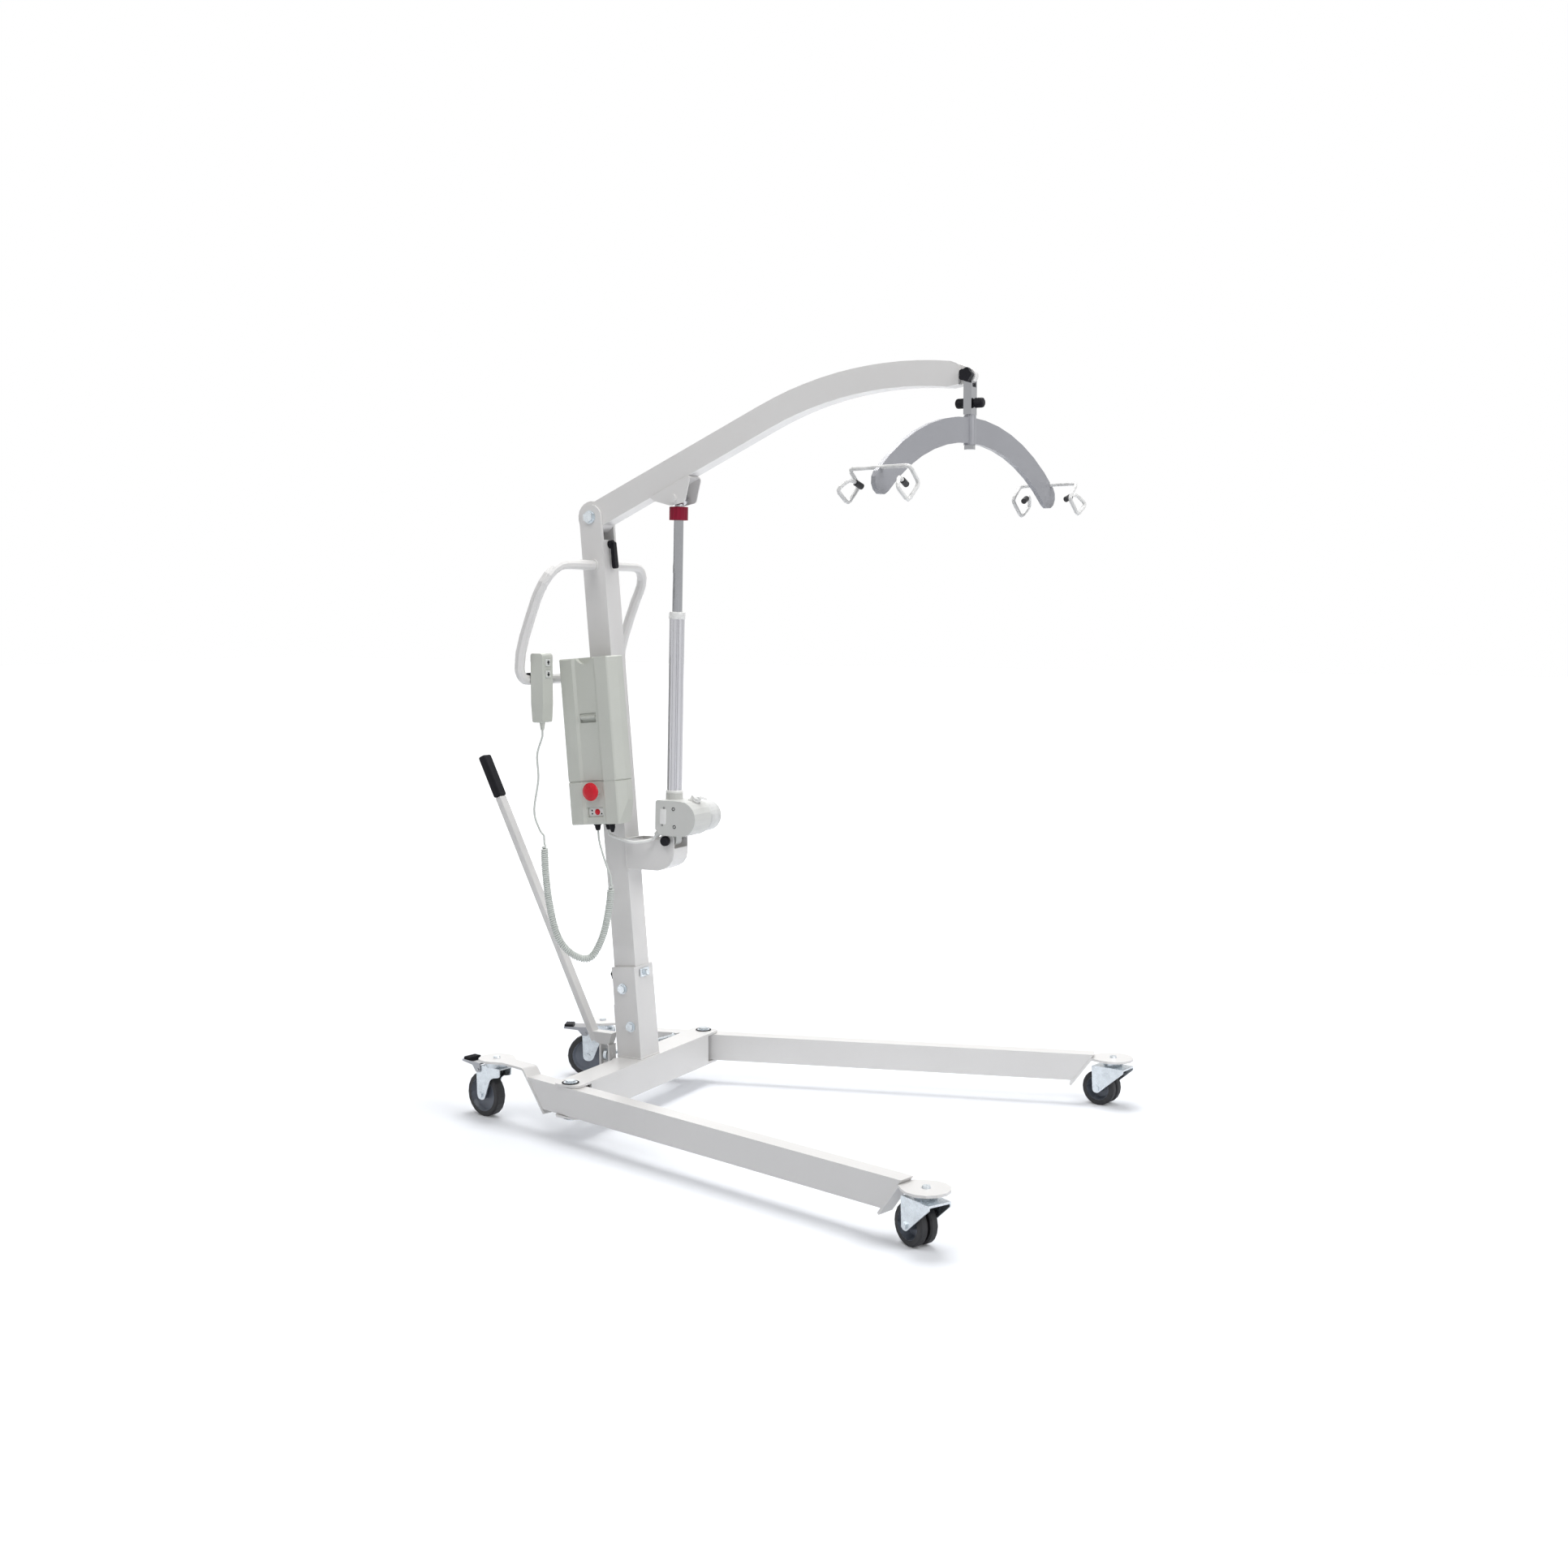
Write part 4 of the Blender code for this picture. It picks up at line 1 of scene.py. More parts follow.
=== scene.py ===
# %% [markdown]
# # A mobile patient lift
#
# A person who can't stand is lifted in a sling from bed to chair with this machine. It is a steel
# frame on castors, a boom raised by an electric actuator, and a spreader bar with four hooks.
# The solids of the machine are loaded first as a fixed frame. This lesson gives each of them its
# finish and adds what is too fine for them: the cords, weld beads, screws, marks and a lamp.

# %% Load the frame
"""Dress the solids of a mobile patient lift with cords, small parts and procedural finishes."""
import json
import math

import bpy
import numpy as np
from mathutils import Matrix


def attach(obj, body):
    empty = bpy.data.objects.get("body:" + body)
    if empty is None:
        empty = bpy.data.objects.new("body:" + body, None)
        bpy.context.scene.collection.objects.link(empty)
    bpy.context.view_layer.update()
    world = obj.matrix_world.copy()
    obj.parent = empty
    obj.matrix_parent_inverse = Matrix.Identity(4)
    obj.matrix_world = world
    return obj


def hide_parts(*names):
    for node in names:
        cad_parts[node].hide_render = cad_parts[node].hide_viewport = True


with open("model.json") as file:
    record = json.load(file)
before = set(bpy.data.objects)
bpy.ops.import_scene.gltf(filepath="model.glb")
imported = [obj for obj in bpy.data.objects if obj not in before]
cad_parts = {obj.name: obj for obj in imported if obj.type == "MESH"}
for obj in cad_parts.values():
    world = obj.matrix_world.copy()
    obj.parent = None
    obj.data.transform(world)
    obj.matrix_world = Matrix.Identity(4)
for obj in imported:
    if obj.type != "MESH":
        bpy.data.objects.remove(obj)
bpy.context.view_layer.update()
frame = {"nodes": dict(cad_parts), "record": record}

# %% [markdown]
# ## Places on a leaning machine
#
# The mast leans back, the boom slopes up and the actuator leans forward a little. Each of them
# gets its own three directions, so that a piece on the mast can be placed with plain heights
# along it. All the numbers below are millimetres on the machine, measured from the floor below
# the mast's foot, and one function turns them into the frame's metres.

# %% Three leaning frames
MILLIMETRE = 0.001
FOOT_TO_MIDDLE = np.array([271.9, 0.0, 0.0])
MAST_LEAN = 4.71
MAST_FOOT_UP = 115.0


def tilted(origin, degrees):
    """Origin and directions of a frame turned forward about the Y axis: X stays level at zero."""
    turn = math.radians(degrees)
    along = (math.cos(turn), 0.0, -math.sin(turn))
    upward = (math.sin(turn), 0.0, math.cos(turn))
    return np.array(origin, float), np.array([along, (0.0, 1.0, 0.0), upward])


FLOOR = tilted((0, 0, 0), 0)
MAST = tilted((-5.4, 0, MAST_FOOT_UP), -MAST_LEAN)
BOOM = tilted((-105.306, 0, 1327.591), -24.4)
ACTUATOR = tilted((90, 0, 620), 1.39)


def on(carrier, points):
    """Metres in the lift's frame, for millimetres given in a carrier's frame."""
    origin, directions = carrier
    return (origin + np.asarray(points, float) @ directions - FOOT_TO_MIDDLE) * MILLIMETRE


def from_floor(carrier, points):
    """Millimetres in the floor's frame, for millimetres given in a carrier's frame."""
    return on(carrier, points) / MILLIMETRE + FOOT_TO_MIDDLE


print("boom pivot at", on(BOOM, (0, 0, 0)).round(3))

# %% [markdown]
# ## The camera
#
# The picture was taken from the front right of the machine, from a little below the height of the
# boom's pivot, with a normal lens. The camera comes before everything else, because the free cords
# are checked against what it sees.

# %% Put up the camera
CAMERA_PLACE = (1.8976, -3.3885, 1.1197)
CAMERA_TURN = (84.57, 0.0, 28.03)
CAMERA_LENS = 41.59

camera_data = bpy.data.cameras.new("view_camera")
camera_data.lens = CAMERA_LENS
camera_data.sensor_width = 36
camera = bpy.data.objects.new("view_camera", camera_data)
camera.location = CAMERA_PLACE
camera.rotation_euler = np.radians(CAMERA_TURN)
bpy.context.scene.collection.objects.link(camera)
bpy.context.scene.camera = camera
print("lens", CAMERA_LENS, "mm")

# %% [markdown]
# ## Finishes from nodes
#
# A finish is a shader with a base colour that wanders slightly, a roughness that wanders too and
# a fine bump. Everything is worked out from the object's own coordinates, so no picture
# is needed and nothing slides when the machine moves. One function lays out those nodes, and each
# finish then only says how strong each of them is.

# %% A function that makes a finish
def add(material, kind, **values):
    """A node of a kind in a material, with its plain properties set."""
    node = material.node_tree.nodes.new(kind)
    for name, value in values.items():
        setattr(node, name, value)
    return node


def wire(material, source, target):
    """Join an output socket to an input socket."""
    material.node_tree.links.new(source, target)


def coordinates(material, stretch=(1, 1, 1)):
    """Object coordinates, squeezed along each axis by a factor."""
    place = add(material, "ShaderNodeTexCoord")
    mapping = add(material, "ShaderNodeMapping")
    mapping.inputs["Scale"].default_value = stretch
    wire(material, place.outputs["Object"], mapping.inputs["Vector"])
    return mapping.outputs["Vector"]


def noise(material, vector, scale, detail=3.0, roughness=0.5):
    """A cloudy value from 0 to 1 whose blobs are about 1 / scale metres wide."""
    node = add(material, "ShaderNodeTexNoise")
    node.inputs["Scale"].default_value = scale
    node.inputs["Detail"].default_value = detail
    node.inputs["Roughness"].default_value = roughness
    wire(material, vector, node.inputs["Vector"])
    return node.outputs["Fac"]


def spread(material, value, low, high, start=0.3, end=0.7):
    """Stretch a value so that start becomes low and end becomes high."""
    node = add(material, "ShaderNodeMapRange", clamp=True)
    for name, number in zip(("From Min", "From Max", "To Min", "To Max"), (start, end, low, high)):
        node.inputs[name].default_value = number
    wire(material, value, node.inputs["Value"])
    return node.outputs["Result"]


def blended(material, factor, first, second):
    """A colour between two others; each is a colour or a socket."""
    node = add(material, "ShaderNodeMix", data_type="RGBA")
    wire(material, factor, node.inputs["Factor"])
    for slot, colour in (("A", first), ("B", second)):
        socket = next(s for s in node.inputs if s.name == slot and s.type == "RGBA")
        if isinstance(colour, tuple):
            socket.default_value = (*colour, 1.0)
        else:
            wire(material, colour, socket)
    return next(s for s in node.outputs if s.type == "RGBA")


def finish(name, colour, rough, metal=0.0, wander=0.04, cloud=14, grain=900, depth=0.00003,
           rough_wander=0.05, stretch=(1, 1, 1), grime=0.12, **constants):
    """A shader whose colour is colour x (1 - wander .. 1 + wander), with grain of a given depth."""
    material = bpy.data.materials.new(name)
    material.use_nodes = True
    material.diffuse_color = (*colour, 1)
    shader = material.node_tree.nodes["Principled BSDF"]
    vector = coordinates(material, stretch)
    clouds = noise(material, vector, cloud)
    darker = tuple(channel * (1 - wander) for channel in colour)
    lighter = tuple(min(channel * (1 + wander), 0.97) for channel in colour)
    tint = blended(material, spread(material, clouds, 0, 1), darker, lighter)
    if grime:
        marks = spread(material, noise(material, vector, cloud * 4, 6, 0.7), 0, grime, 0.56, 0.74)
        tint = blended(material, marks, tint, tuple(channel * 0.72 for channel in colour))
    wire(material, tint, shader.inputs["Base Color"])
    shader.inputs["Metallic"].default_value = metal
    patchy = noise(material, vector, cloud * 3, 4, 0.6)
    wire(
        material, spread(material, patchy, rough - rough_wander, rough + rough_wander),
        shader.inputs["Roughness"],
    )
    bump = add(material, "ShaderNodeBump")
    bump.inputs["Strength"].default_value = 1.0
    bump.inputs["Distance"].default_value = depth
    wire(material, noise(material, vector, grain, 2), bump.inputs["Height"])
    wire(material, bump.outputs["Normal"], shader.inputs["Normal"])
    for socket, value in constants.items():
        shader.inputs[socket.replace("_", " ")].default_value = value
    return material


# %% [markdown]
# ## The machine's finishes
#
# The tubes are powder coated: the powder melts in an oven into a satin skin with a very fine
# orange peel. The spreader has the same coat in silver grey. Fasteners and castor forks are zinc
# plated, which shows as a bluish, cloudy metal, and the piston rod and hanger are chromed. The box
# and handset are moulded with a fine spark-eroded grain, and the knobs and grips are black nylon.

# %% Coats, metals and plastics
coat = finish(
    "powder_coat", (0.71, 0.70, 0.69), 0.36, wander=0.015, cloud=6, grain=1400, depth=0.00004,
    grime=0.08, Coat_Weight=0.25, Coat_Roughness=0.25,
)
arch_grey = finish(
    "silver_grey_coat", (0.29, 0.293, 0.315), 0.40, metal=0.0, wander=0.03, cloud=9, grain=1600,
    depth=0.00004, Coat_Weight=0.2, Coat_Roughness=0.25,
)
zinc = finish(
    "zinc_plate", (0.60, 0.64, 0.67), 0.30, metal=1.0, wander=0.09, cloud=60, grain=700,
    depth=0.00002, rough_wander=0.08,
)
chrome = finish(
    "chrome_plate", (0.33, 0.335, 0.35), 0.12, metal=1.0, wander=0.02, cloud=30, grain=300,
    depth=0.000004, rough_wander=0.03, grime=0,
)
aluminium = finish(
    "satin_aluminium", (0.45, 0.45, 0.47), 0.30, metal=1.0, wander=0.03, cloud=40, grain=500,
    depth=0.000012, stretch=(3, 3, 0.12), grime=0,
)
box_plastic = finish(
    "grained_box_plastic", (0.56, 0.575, 0.53), 0.46, wander=0.02, cloud=11, grain=1500,
    depth=0.00007, grime=0.1,
)
white_plastic = finish(
    "white_nylon", (0.80, 0.80, 0.785), 0.30, wander=0.01, cloud=15, grain=900, depth=0.00002,
    grime=0.04,
)
housing_plastic = finish(
    "housing_plastic", (0.60, 0.605, 0.585), 0.42, wander=0.015, cloud=12, grain=1300,
    depth=0.00005, grime=0.08,
)
key_plastic = finish(
    "key_plastic", (0.66, 0.67, 0.65), 0.5, wander=0.02, cloud=40, grain=1100, depth=0.00004,
    grime=0.05,
)
black_plastic = finish(
    "black_nylon", (0.008, 0.008, 0.011), 0.52, wander=0.25, cloud=30, grain=1300, depth=0.00006,
    grime=0, Specular_IOR_Level=0.14,
)
red_plastic = finish(
    "red_plastic", (0.60, 0.008, 0.022), 0.30, wander=0.05, cloud=20, grain=600, depth=0.00001,
    grime=0, Specular_IOR_Level=0.3,
)
collar_red = finish(
    "dark_red_nylon", (0.22, 0.006, 0.026), 0.48, wander=0.1, cloud=25, grain=1100,
    depth=0.00005, grime=0, Specular_IOR_Level=0.2,
)
cord_jacket = finish(
    "cord_jacket", (0.60, 0.63, 0.60), 0.48, wander=0.05, cloud=35, grain=1700, depth=0.00004,
    grime=0.1,
)
print("finishes:", len(bpy.data.materials))

# %% [markdown]
# ## The handset's cord
#
# The handset hangs on the push handle. Its cord leaves the strain relief as a plain lead, runs
# into a long curly part that hangs in a loop, and ends as a plain lead in the box's plug. It could
# be simulated, but a coil's centre line is a short formula, so it is worked out directly: first a
# smooth route through the points where the real cord hangs, then a helix wound round that route.
# The helix opens from nothing over a short way at each end.

# %% A smooth route and a helix round it
LEAD_ROUTE = [
    (-148, -156, 862.5), (-148.5, -156, 848), (-165, -153, 808), (-164, -151, 755),
    (-177, -150, 682), (-161, -150, 640), (-151.5, -150, 630),
]
CURL_ROUTE = [
    (-151, -150, 617), (-149, -150, 553), (-139, -150, 479), (-121, -145, 407),
    (-95, -128, 368), (-64, -105, 359), (-42, -88, 405), (-29, -81, 470), (-24, -80, 515),
    (-24, -80, 527),
]
BOX_LEAD_ROUTE = [(-24, -80, 540), (-36, -80, 566), (-49, -80, 601), (-53.5, -81, 620)]
CURLS = 98
POINTS_A_TURN = 12
CURL_RADIUS = 6.2
COIL_OPENS_IN = 0.045
CORD_DIAMETER = 4.6
HANDSET_PLUG, ACTUATOR_PLUG = (-6, -82), (12, -66)
PLUG_MOUTH_UP = 527.4
BELOW_HANDSET_PLUG, BELOW_ACTUATOR_PLUG = 516, 518
LEAD_POINTS, BOX_LEAD_POINTS, CABLE_POINTS = 20, 12, 30
LEVEL_ACROSS_ROUTE = np.array([-0.489, 0.873, 0.0])


def smooth_route(points, count):
    """A Catmull-Rom curve through the points, cut again into count evenly spaced points.

    Between points b and c, with a before and d after, the place at share t is half of
    2b + (c - a) t + (2a - 5b + 4c - d) t^2 + (3b - a - 3c + d) t^3.
    """
    points = np.asarray(points, float)
    first = 2 * points[:1] - points[1:2]
    last = 2 * points[-1:] - points[-2:-1]
    held = np.concatenate([first, points, last])
    a, b, c, d = (held[k:len(points) - 1 + k, None] for k in range(4))
    t = np.linspace(0, 1, 40, endpoint=False)[None, :, None]
    fine = 0.5 * (
        2 * b + (c - a) * t + (2 * a - 5 * b + 4 * c - d) * t**2 + (3 * b - a - 3 * c + d) * t**3
    )
    fine = np.concatenate([fine.reshape(-1, 3), points[-1:]])
    travelled = np.concatenate([[0], np.cumsum(np.linalg.norm(np.diff(fine, axis=0), axis=1))])
    wanted = np.linspace(0, travelled[-1], count)
    return np.stack([np.interp(wanted, travelled, fine[:, axis]) for axis in range(3)], axis=1)


def wound(route, turns, radius):
    """A helix round a route: place + opening x radius x (side cos angle + across sin angle).

    Near each end the opening and the speed of the angle both ease from 0 to 1 as 3 t^2 - 2 t^3,
    so that the coil grows out of the plain lead without a tight bend.
    """
    count = len(route)
    tangent = np.gradient(route, axis=0)
    tangent /= np.linalg.norm(tangent, axis=1, keepdims=True)
    side = LEVEL_ACROSS_ROUTE - tangent * (tangent @ LEVEL_ACROSS_ROUTE)[:, None]
    side /= np.linalg.norm(side, axis=1, keepdims=True)
    across = np.cross(tangent, side)
    travelled = np.linspace(0, 1, count)
    share = np.clip(np.minimum(travelled, 1 - travelled) / COIL_OPENS_IN, 0, 1)
    eased = share**2 * (3 - 2 * share)
    speed = np.cumsum(eased)
    angle = math.tau * turns * speed / speed[-1]
    opening = radius * eased
    ring = side * np.cos(angle)[:, None] + across * np.sin(angle)[:, None]
    return route + opening[:, None] * ring


lead = smooth_route(LEAD_ROUTE, LEAD_POINTS)
coil = wound(smooth_route(CURL_ROUTE, CURLS * POINTS_A_TURN + 1), CURLS, CURL_RADIUS)
plug_mouth = from_floor(MAST, [(*HANDSET_PLUG, PLUG_MOUTH_UP)])[0]
plug_below = from_floor(MAST, [(*HANDSET_PLUG, BELOW_HANDSET_PLUG)])[0]
box_lead = smooth_route([*BOX_LEAD_ROUTE, plug_below, plug_mouth], BOX_LEAD_POINTS)
handset_line = on(FLOOR, np.concatenate([lead, coil, box_lead]))
handset_length = np.linalg.norm(np.diff(handset_line, axis=0), axis=1).sum()
print("handset cord:", len(handset_line), "points,", round(handset_length, 2), "m")


# %% [markdown]
# A cord is a curve with a round bevel, which Blender turns into a tube. The short cable from the
# box to the actuator is made the same way.

# %% Make the two cords
def cord_curve(name, line, diameter, material, replaced):
    """A round cord along a line of points in metres."""
    data = bpy.data.curves.new(name, "CURVE")
    data.dimensions = "3D"
    data.bevel_depth = diameter / 2
    data.bevel_resolution = 3
    data.use_fill_caps = True
    spline = data.splines.new("POLY")
    spline.points.add(len(line) - 1)
    flat = np.concatenate([line, np.ones((len(line), 1))], axis=1)
    spline.points.foreach_set("co", flat.ravel())
    cord = bpy.data.objects.new(name, data)
    bpy.context.scene.collection.objects.link(cord)
    data.materials.append(material)
    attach(cord, "base")
    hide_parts(*replaced)


cord_curve(
    "handset_cord", handset_line, CORD_DIAMETER * MILLIMETRE, cord_jacket,
    ("handset_lead", "curly_cord", "box_lead"),
)
CABLE_ROUTE = [(-20, -66, 626), (18, -64, 617), (44, -52, 618)]
CABLE_DIAMETER = 7.0
BEFORE_GLAND, INTO_GLAND = 14, 2
cable_top = from_floor(
    MAST, [(*ACTUATOR_PLUG, PLUG_MOUTH_UP), (*ACTUATOR_PLUG, BELOW_ACTUATOR_PLUG)],
)
gland_inner, gland_outer = np.array([(-12, -37, 22), (-22, -37, 12)], float)
gland_axis = (gland_outer - gland_inner) / np.linalg.norm(gland_outer - gland_inner)
gland_end = from_floor(
    ACTUATOR, [gland_outer + gland_axis * BEFORE_GLAND, gland_outer - gland_axis * INTO_GLAND],
)
cable_line = on(FLOOR, smooth_route([*cable_top, *CABLE_ROUTE, *gland_end], CABLE_POINTS))
white_jacket = finish(
    "white_cable_jacket", (0.74, 0.745, 0.73), 0.42, wander=0.03, cloud=35, grain=1500,
    depth=0.00003, grime=0.1,
)
cord_curve(
    "actuator_cord", cable_line, CABLE_DIAMETER * MILLIMETRE, white_jacket,
    ("actuator_cable",),
)
print("cords made")

# %% [markdown]
# ## Give every solid its finish
#
# The frame keeps one object for each solid. The record says which finish belongs to each, and here
# the plain colours make way for the node finishes. Wheels, hooks and the motor's cover have two
# materials in one solid, so they get a finish of their own with zones, worked out below.

# %% Assign the plain finishes
BY_FINISH = {
    coat: [
        "cross_beam", "mast_socket", "mast", "push_handle", "actuator_bracket", "box_bracket",
        "boom", "boom_bracket", "leg_left", "leg_right", "lever_crank", "spread_lever",
    ],
    arch_grey: ["spreader_bar"],
    zinc: [
        "pivot_bolt_left", "pivot_bolt_right", "socket_bolt_upper", "socket_bolt_lower",
        "boom_pivot_bolt", "mast_clamp", "rear_left_fork", "rear_right_fork", "front_left_fork",
        "front_right_fork", "tie_rod_left", "tie_rod_right",
    ],
    chrome: ["piston_rod", "hanger_yoke", "brake_pedal_left", "brake_pedal_right"],
    aluminium: ["outer_tube", "rod_eye"],
    box_plastic: ["control_unit", "battery_pack", "battery_latch", "handset_case"],
    white_plastic: ["service_plug"],
    housing_plastic: ["gear_housing"],
    key_plastic: ["button_up", "button_down"],
    black_plastic: [
        "bracket_pin", "end_pin", "lock_lever", "hanger_grips", "lever_grip",
        "handset_hook", "handset_plug", "actuator_plug",
    ],
    red_plastic: ["stop_button"],
    collar_red: ["lowering_collar"],
    cord_jacket: ["handset_lead", "curly_cord", "box_lead"],
    white_jacket: ["actuator_cable"],
}


def dress(node, material):
    """Put one material in all the slots of a solid."""
    data = frame["nodes"][node].data
    if not data.materials:
        data.materials.append(material)
    for number in range(len(data.materials)):
        data.materials[number] = material


for material, nodes in BY_FINISH.items():
    for node in nodes:
        dress(node, material)
print("dressed", sum(len(nodes) for nodes in BY_FINISH.values()), "solids")

# %% [markdown]
# ## Wheels with a hub and a tread
#
# A castor wheel is a dark grey nylon hub with a black rubber tread pressed round it. Both are one
# solid here, so the finish looks at how far a point is from the axle line: beyond the hub's rim it
# is rubber. Distance from a line is the length of the cross product of the point's offset
# with the line's direction. The axle line comes from the record's roll joint.

# %% Zones round an axle
def distance_from_line(material, place, direction):
    """How far a point is from a line: |(point - place) x direction|, in metres."""
    coords = add(material, "ShaderNodeTexCoord")
    offset = add(material, "ShaderNodeVectorMath", operation="SUBTRACT")
    offset.inputs[1].default_value = place
    wire(material, coords.outputs["Object"], offset.inputs[0])
    product = add(material, "ShaderNodeVectorMath", operation="CROSS_PRODUCT")
    product.inputs[1].default_value = direction
    wire(material, offset.outputs["Vector"], product.inputs[0])
    length = add(material, "ShaderNodeVectorMath", operation="LENGTH")
    wire(material, product.outputs["Vector"], length.inputs[0])
    return length.outputs["Value"]


def zoned(name, inner, outer, measure, edge, blur=0.0002):
    """A finish that shows inner below an edge of a measure and outer above it."""
    material = bpy.data.materials.new(name)
    material.use_nodes = True
    material.diffuse_color = (*outer[0], 1)
    shader = material.node_tree.nodes["Principled BSDF"]
    vector = coordinates(material)
    share = spread(material, measure(material), 0, 1, edge - blur, edge + blur)
    clouds = spread(material, noise(material, vector, 30), 0.85, 1.15)
    tint = blended(material, share, inner[0], outer[0])
    shade = add(material, "ShaderNodeVectorMath", operation="SCALE")
    wire(material, tint, shade.inputs[0])
    wire(material, clouds, shade.inputs["Scale"])
    wire(material, shade.outputs["Vector"], shader.inputs["Base Color"])
    wire(
        material, spread(material, share, inner[1], outer[1], 0, 1), shader.inputs["Roughness"],
    )
    wire(material, spread(material, share, inner[2], outer[2], 0, 1), shader.inputs["Metallic"])
    bump = add(material, "ShaderNodeBump")
    bump.inputs["Distance"].default_value = 0.00005
    wire(material, noise(material, vector, 1200, 2), bump.inputs["Height"])
    wire(material, bump.outputs["Normal"], shader.inputs["Normal"])
    return material


HUB_GREY = ((0.13, 0.145, 0.175), 0.42, 0.0)
wheel_grey = finish(
    "wheel_grey_nylon", (0.15, 0.165, 0.195), 0.42, wander=0.06, cloud=30, grain=1000,
    depth=0.00004, grime=0,
)
TREAD_BLACK = ((0.018, 0.018, 0.02), 0.62, 0.0)
joints = {joint["name"]: joint for joint in frame["record"]["behaviour"]["joints"]}
for wheel, rim in (("rear_left", 38), ("rear_right", 38), ("front_left", 28), ("front_right", 28)):
    roll = joints[f"{wheel}_roll"]
    rolling = zoned(
        f"{wheel}_wheel_finish", HUB_GREY, TREAD_BLACK,
        lambda material, roll=roll: distance_from_line(material, roll["pos_m"], roll["axis"]),
        rim * MILLIMETRE,
    )
    dress(f"{wheel}_wheel", rolling)
print("wheels dressed")


# %% [markdown]
# ## Hooks with rubber stops
#
# The sling hooks are one bent wire, powder coated like the frame, with a black rubber stop pushed
# on each tip so that a sling's loop can't slide off. Wire and stops are one solid. The stop is a
# short rod, so the finish measures how far a point is from the middle of the nearest stop.

# %% Zones near the hook stops
SPREADER_YAW = math.radians(-10.9)
HANGER_AT = 783.0
HOOK_SEAT = 467.0
HOOK_SEAT_ANGLE = math.radians(40.7)
ARCH_CENTRE_HEIGHT = 1503.0 - 470.0
HOOK_REACH = 69.0
STOP_FROM = np.array([16.0, -20.0, 13.0])
STOP_TO = np.array([-3.0, -28.0, 16.0])
STOP_MIDDLE = 4.0
STOP_REACH = 11.2


def stop_middle(end, side):
    """The middle of a rubber stop: the hook's last point, moved a little along its last leg."""
    along = HOOK_SEAT * math.sin(HOOK_SEAT_ANGLE)
    height = ARCH_CENTRE_HEIGHT + HOOK_SEAT * math.cos(HOOK_SEAT_ANGLE)
    points = [
        np.array([side * (HOOK_REACH - toward), end * (along + out), height + rise])
        for out, rise, toward in (STOP_FROM, STOP_TO)
    ]
    leg = points[1] - points[0]
    x, y, z = points[1] + leg / np.linalg.norm(leg) * STOP_MIDDLE
    turn_cos, turn_sin = math.cos(SPREADER_YAW), math.sin(SPREADER_YAW)
    return on(FLOOR, (HANGER_AT + x * turn_cos - y * turn_sin, x * turn_sin + y * turn_cos, z))


def nearest(places):
    """A measure that gives the distance to the nearest of some places, in metres."""
    def measure(material):
        coords = add(material, "ShaderNodeTexCoord")
        shortest = None
        for place in places:
            gap = add(material, "ShaderNodeVectorMath", operation="DISTANCE")
            gap.inputs[1].default_value = tuple(place)
            wire(material, coords.outputs["Object"], gap.inputs[0])
            if shortest is None:
                shortest = gap.outputs["Value"]
                continue
            smaller = add(material, "ShaderNodeMath", operation="MINIMUM")
            wire(material, shortest, smaller.inputs[0])
            wire(material, gap.outputs["Value"], smaller.inputs[1])
            shortest = smaller.outputs["Value"]
        return shortest
    return measure


COAT_LOOK = ((0.70, 0.70, 0.69), 0.36, 0.0)
RUBBER_LOOK = ((0.016, 0.016, 0.018), 0.6, 0.0)
for name, end in (("hooks_left", 1), ("hooks_right", -1)):
    stops = [stop_middle(end, side) for side in (1, -1)]
    dress(name, zoned(
        f"{name}_finish", RUBBER_LOOK, COAT_LOOK, nearest(stops), STOP_REACH * MILLIMETRE,
    ))
print("hook stops are black")

# %% [markdown]
# The motor is a grey can with a white cap over its end. The join is a plane across the motor, so
# here the measure is simply how far to the left a point lies.

# %% Grey can and white cap
CAP_START = 62.5
CAN_LOOK = ((0.60, 0.605, 0.585), 0.42, 0.0)
CAP_LOOK = ((0.64, 0.645, 0.635), 0.34, 0.0)


def leftward(material):
    """How far to the left of the middle a point is, in metres."""
    coords = add(material, "ShaderNodeTexCoord")
    parts = add(material, "ShaderNodeSeparateXYZ")
    wire(material, coords.outputs["Object"], parts.inputs["Vector"])
    return parts.outputs["Y"]


dress("motor_cover", zoned(
    "motor_finish", CAN_LOOK, CAP_LOOK, leftward, CAP_START * MILLIMETRE,
))
print("motor capped")

# %% [markdown]
# ## Skins from grids of points
#
# Apart from the cords, every new piece is a closed skin over a grid of points. Rows run along the
# piece and columns run round it. The faces come from the grid's own numbering, and each end is
# closed by a fan. If the volume under the faces comes out negative, the skin was inside out, so
# all faces are turned over.


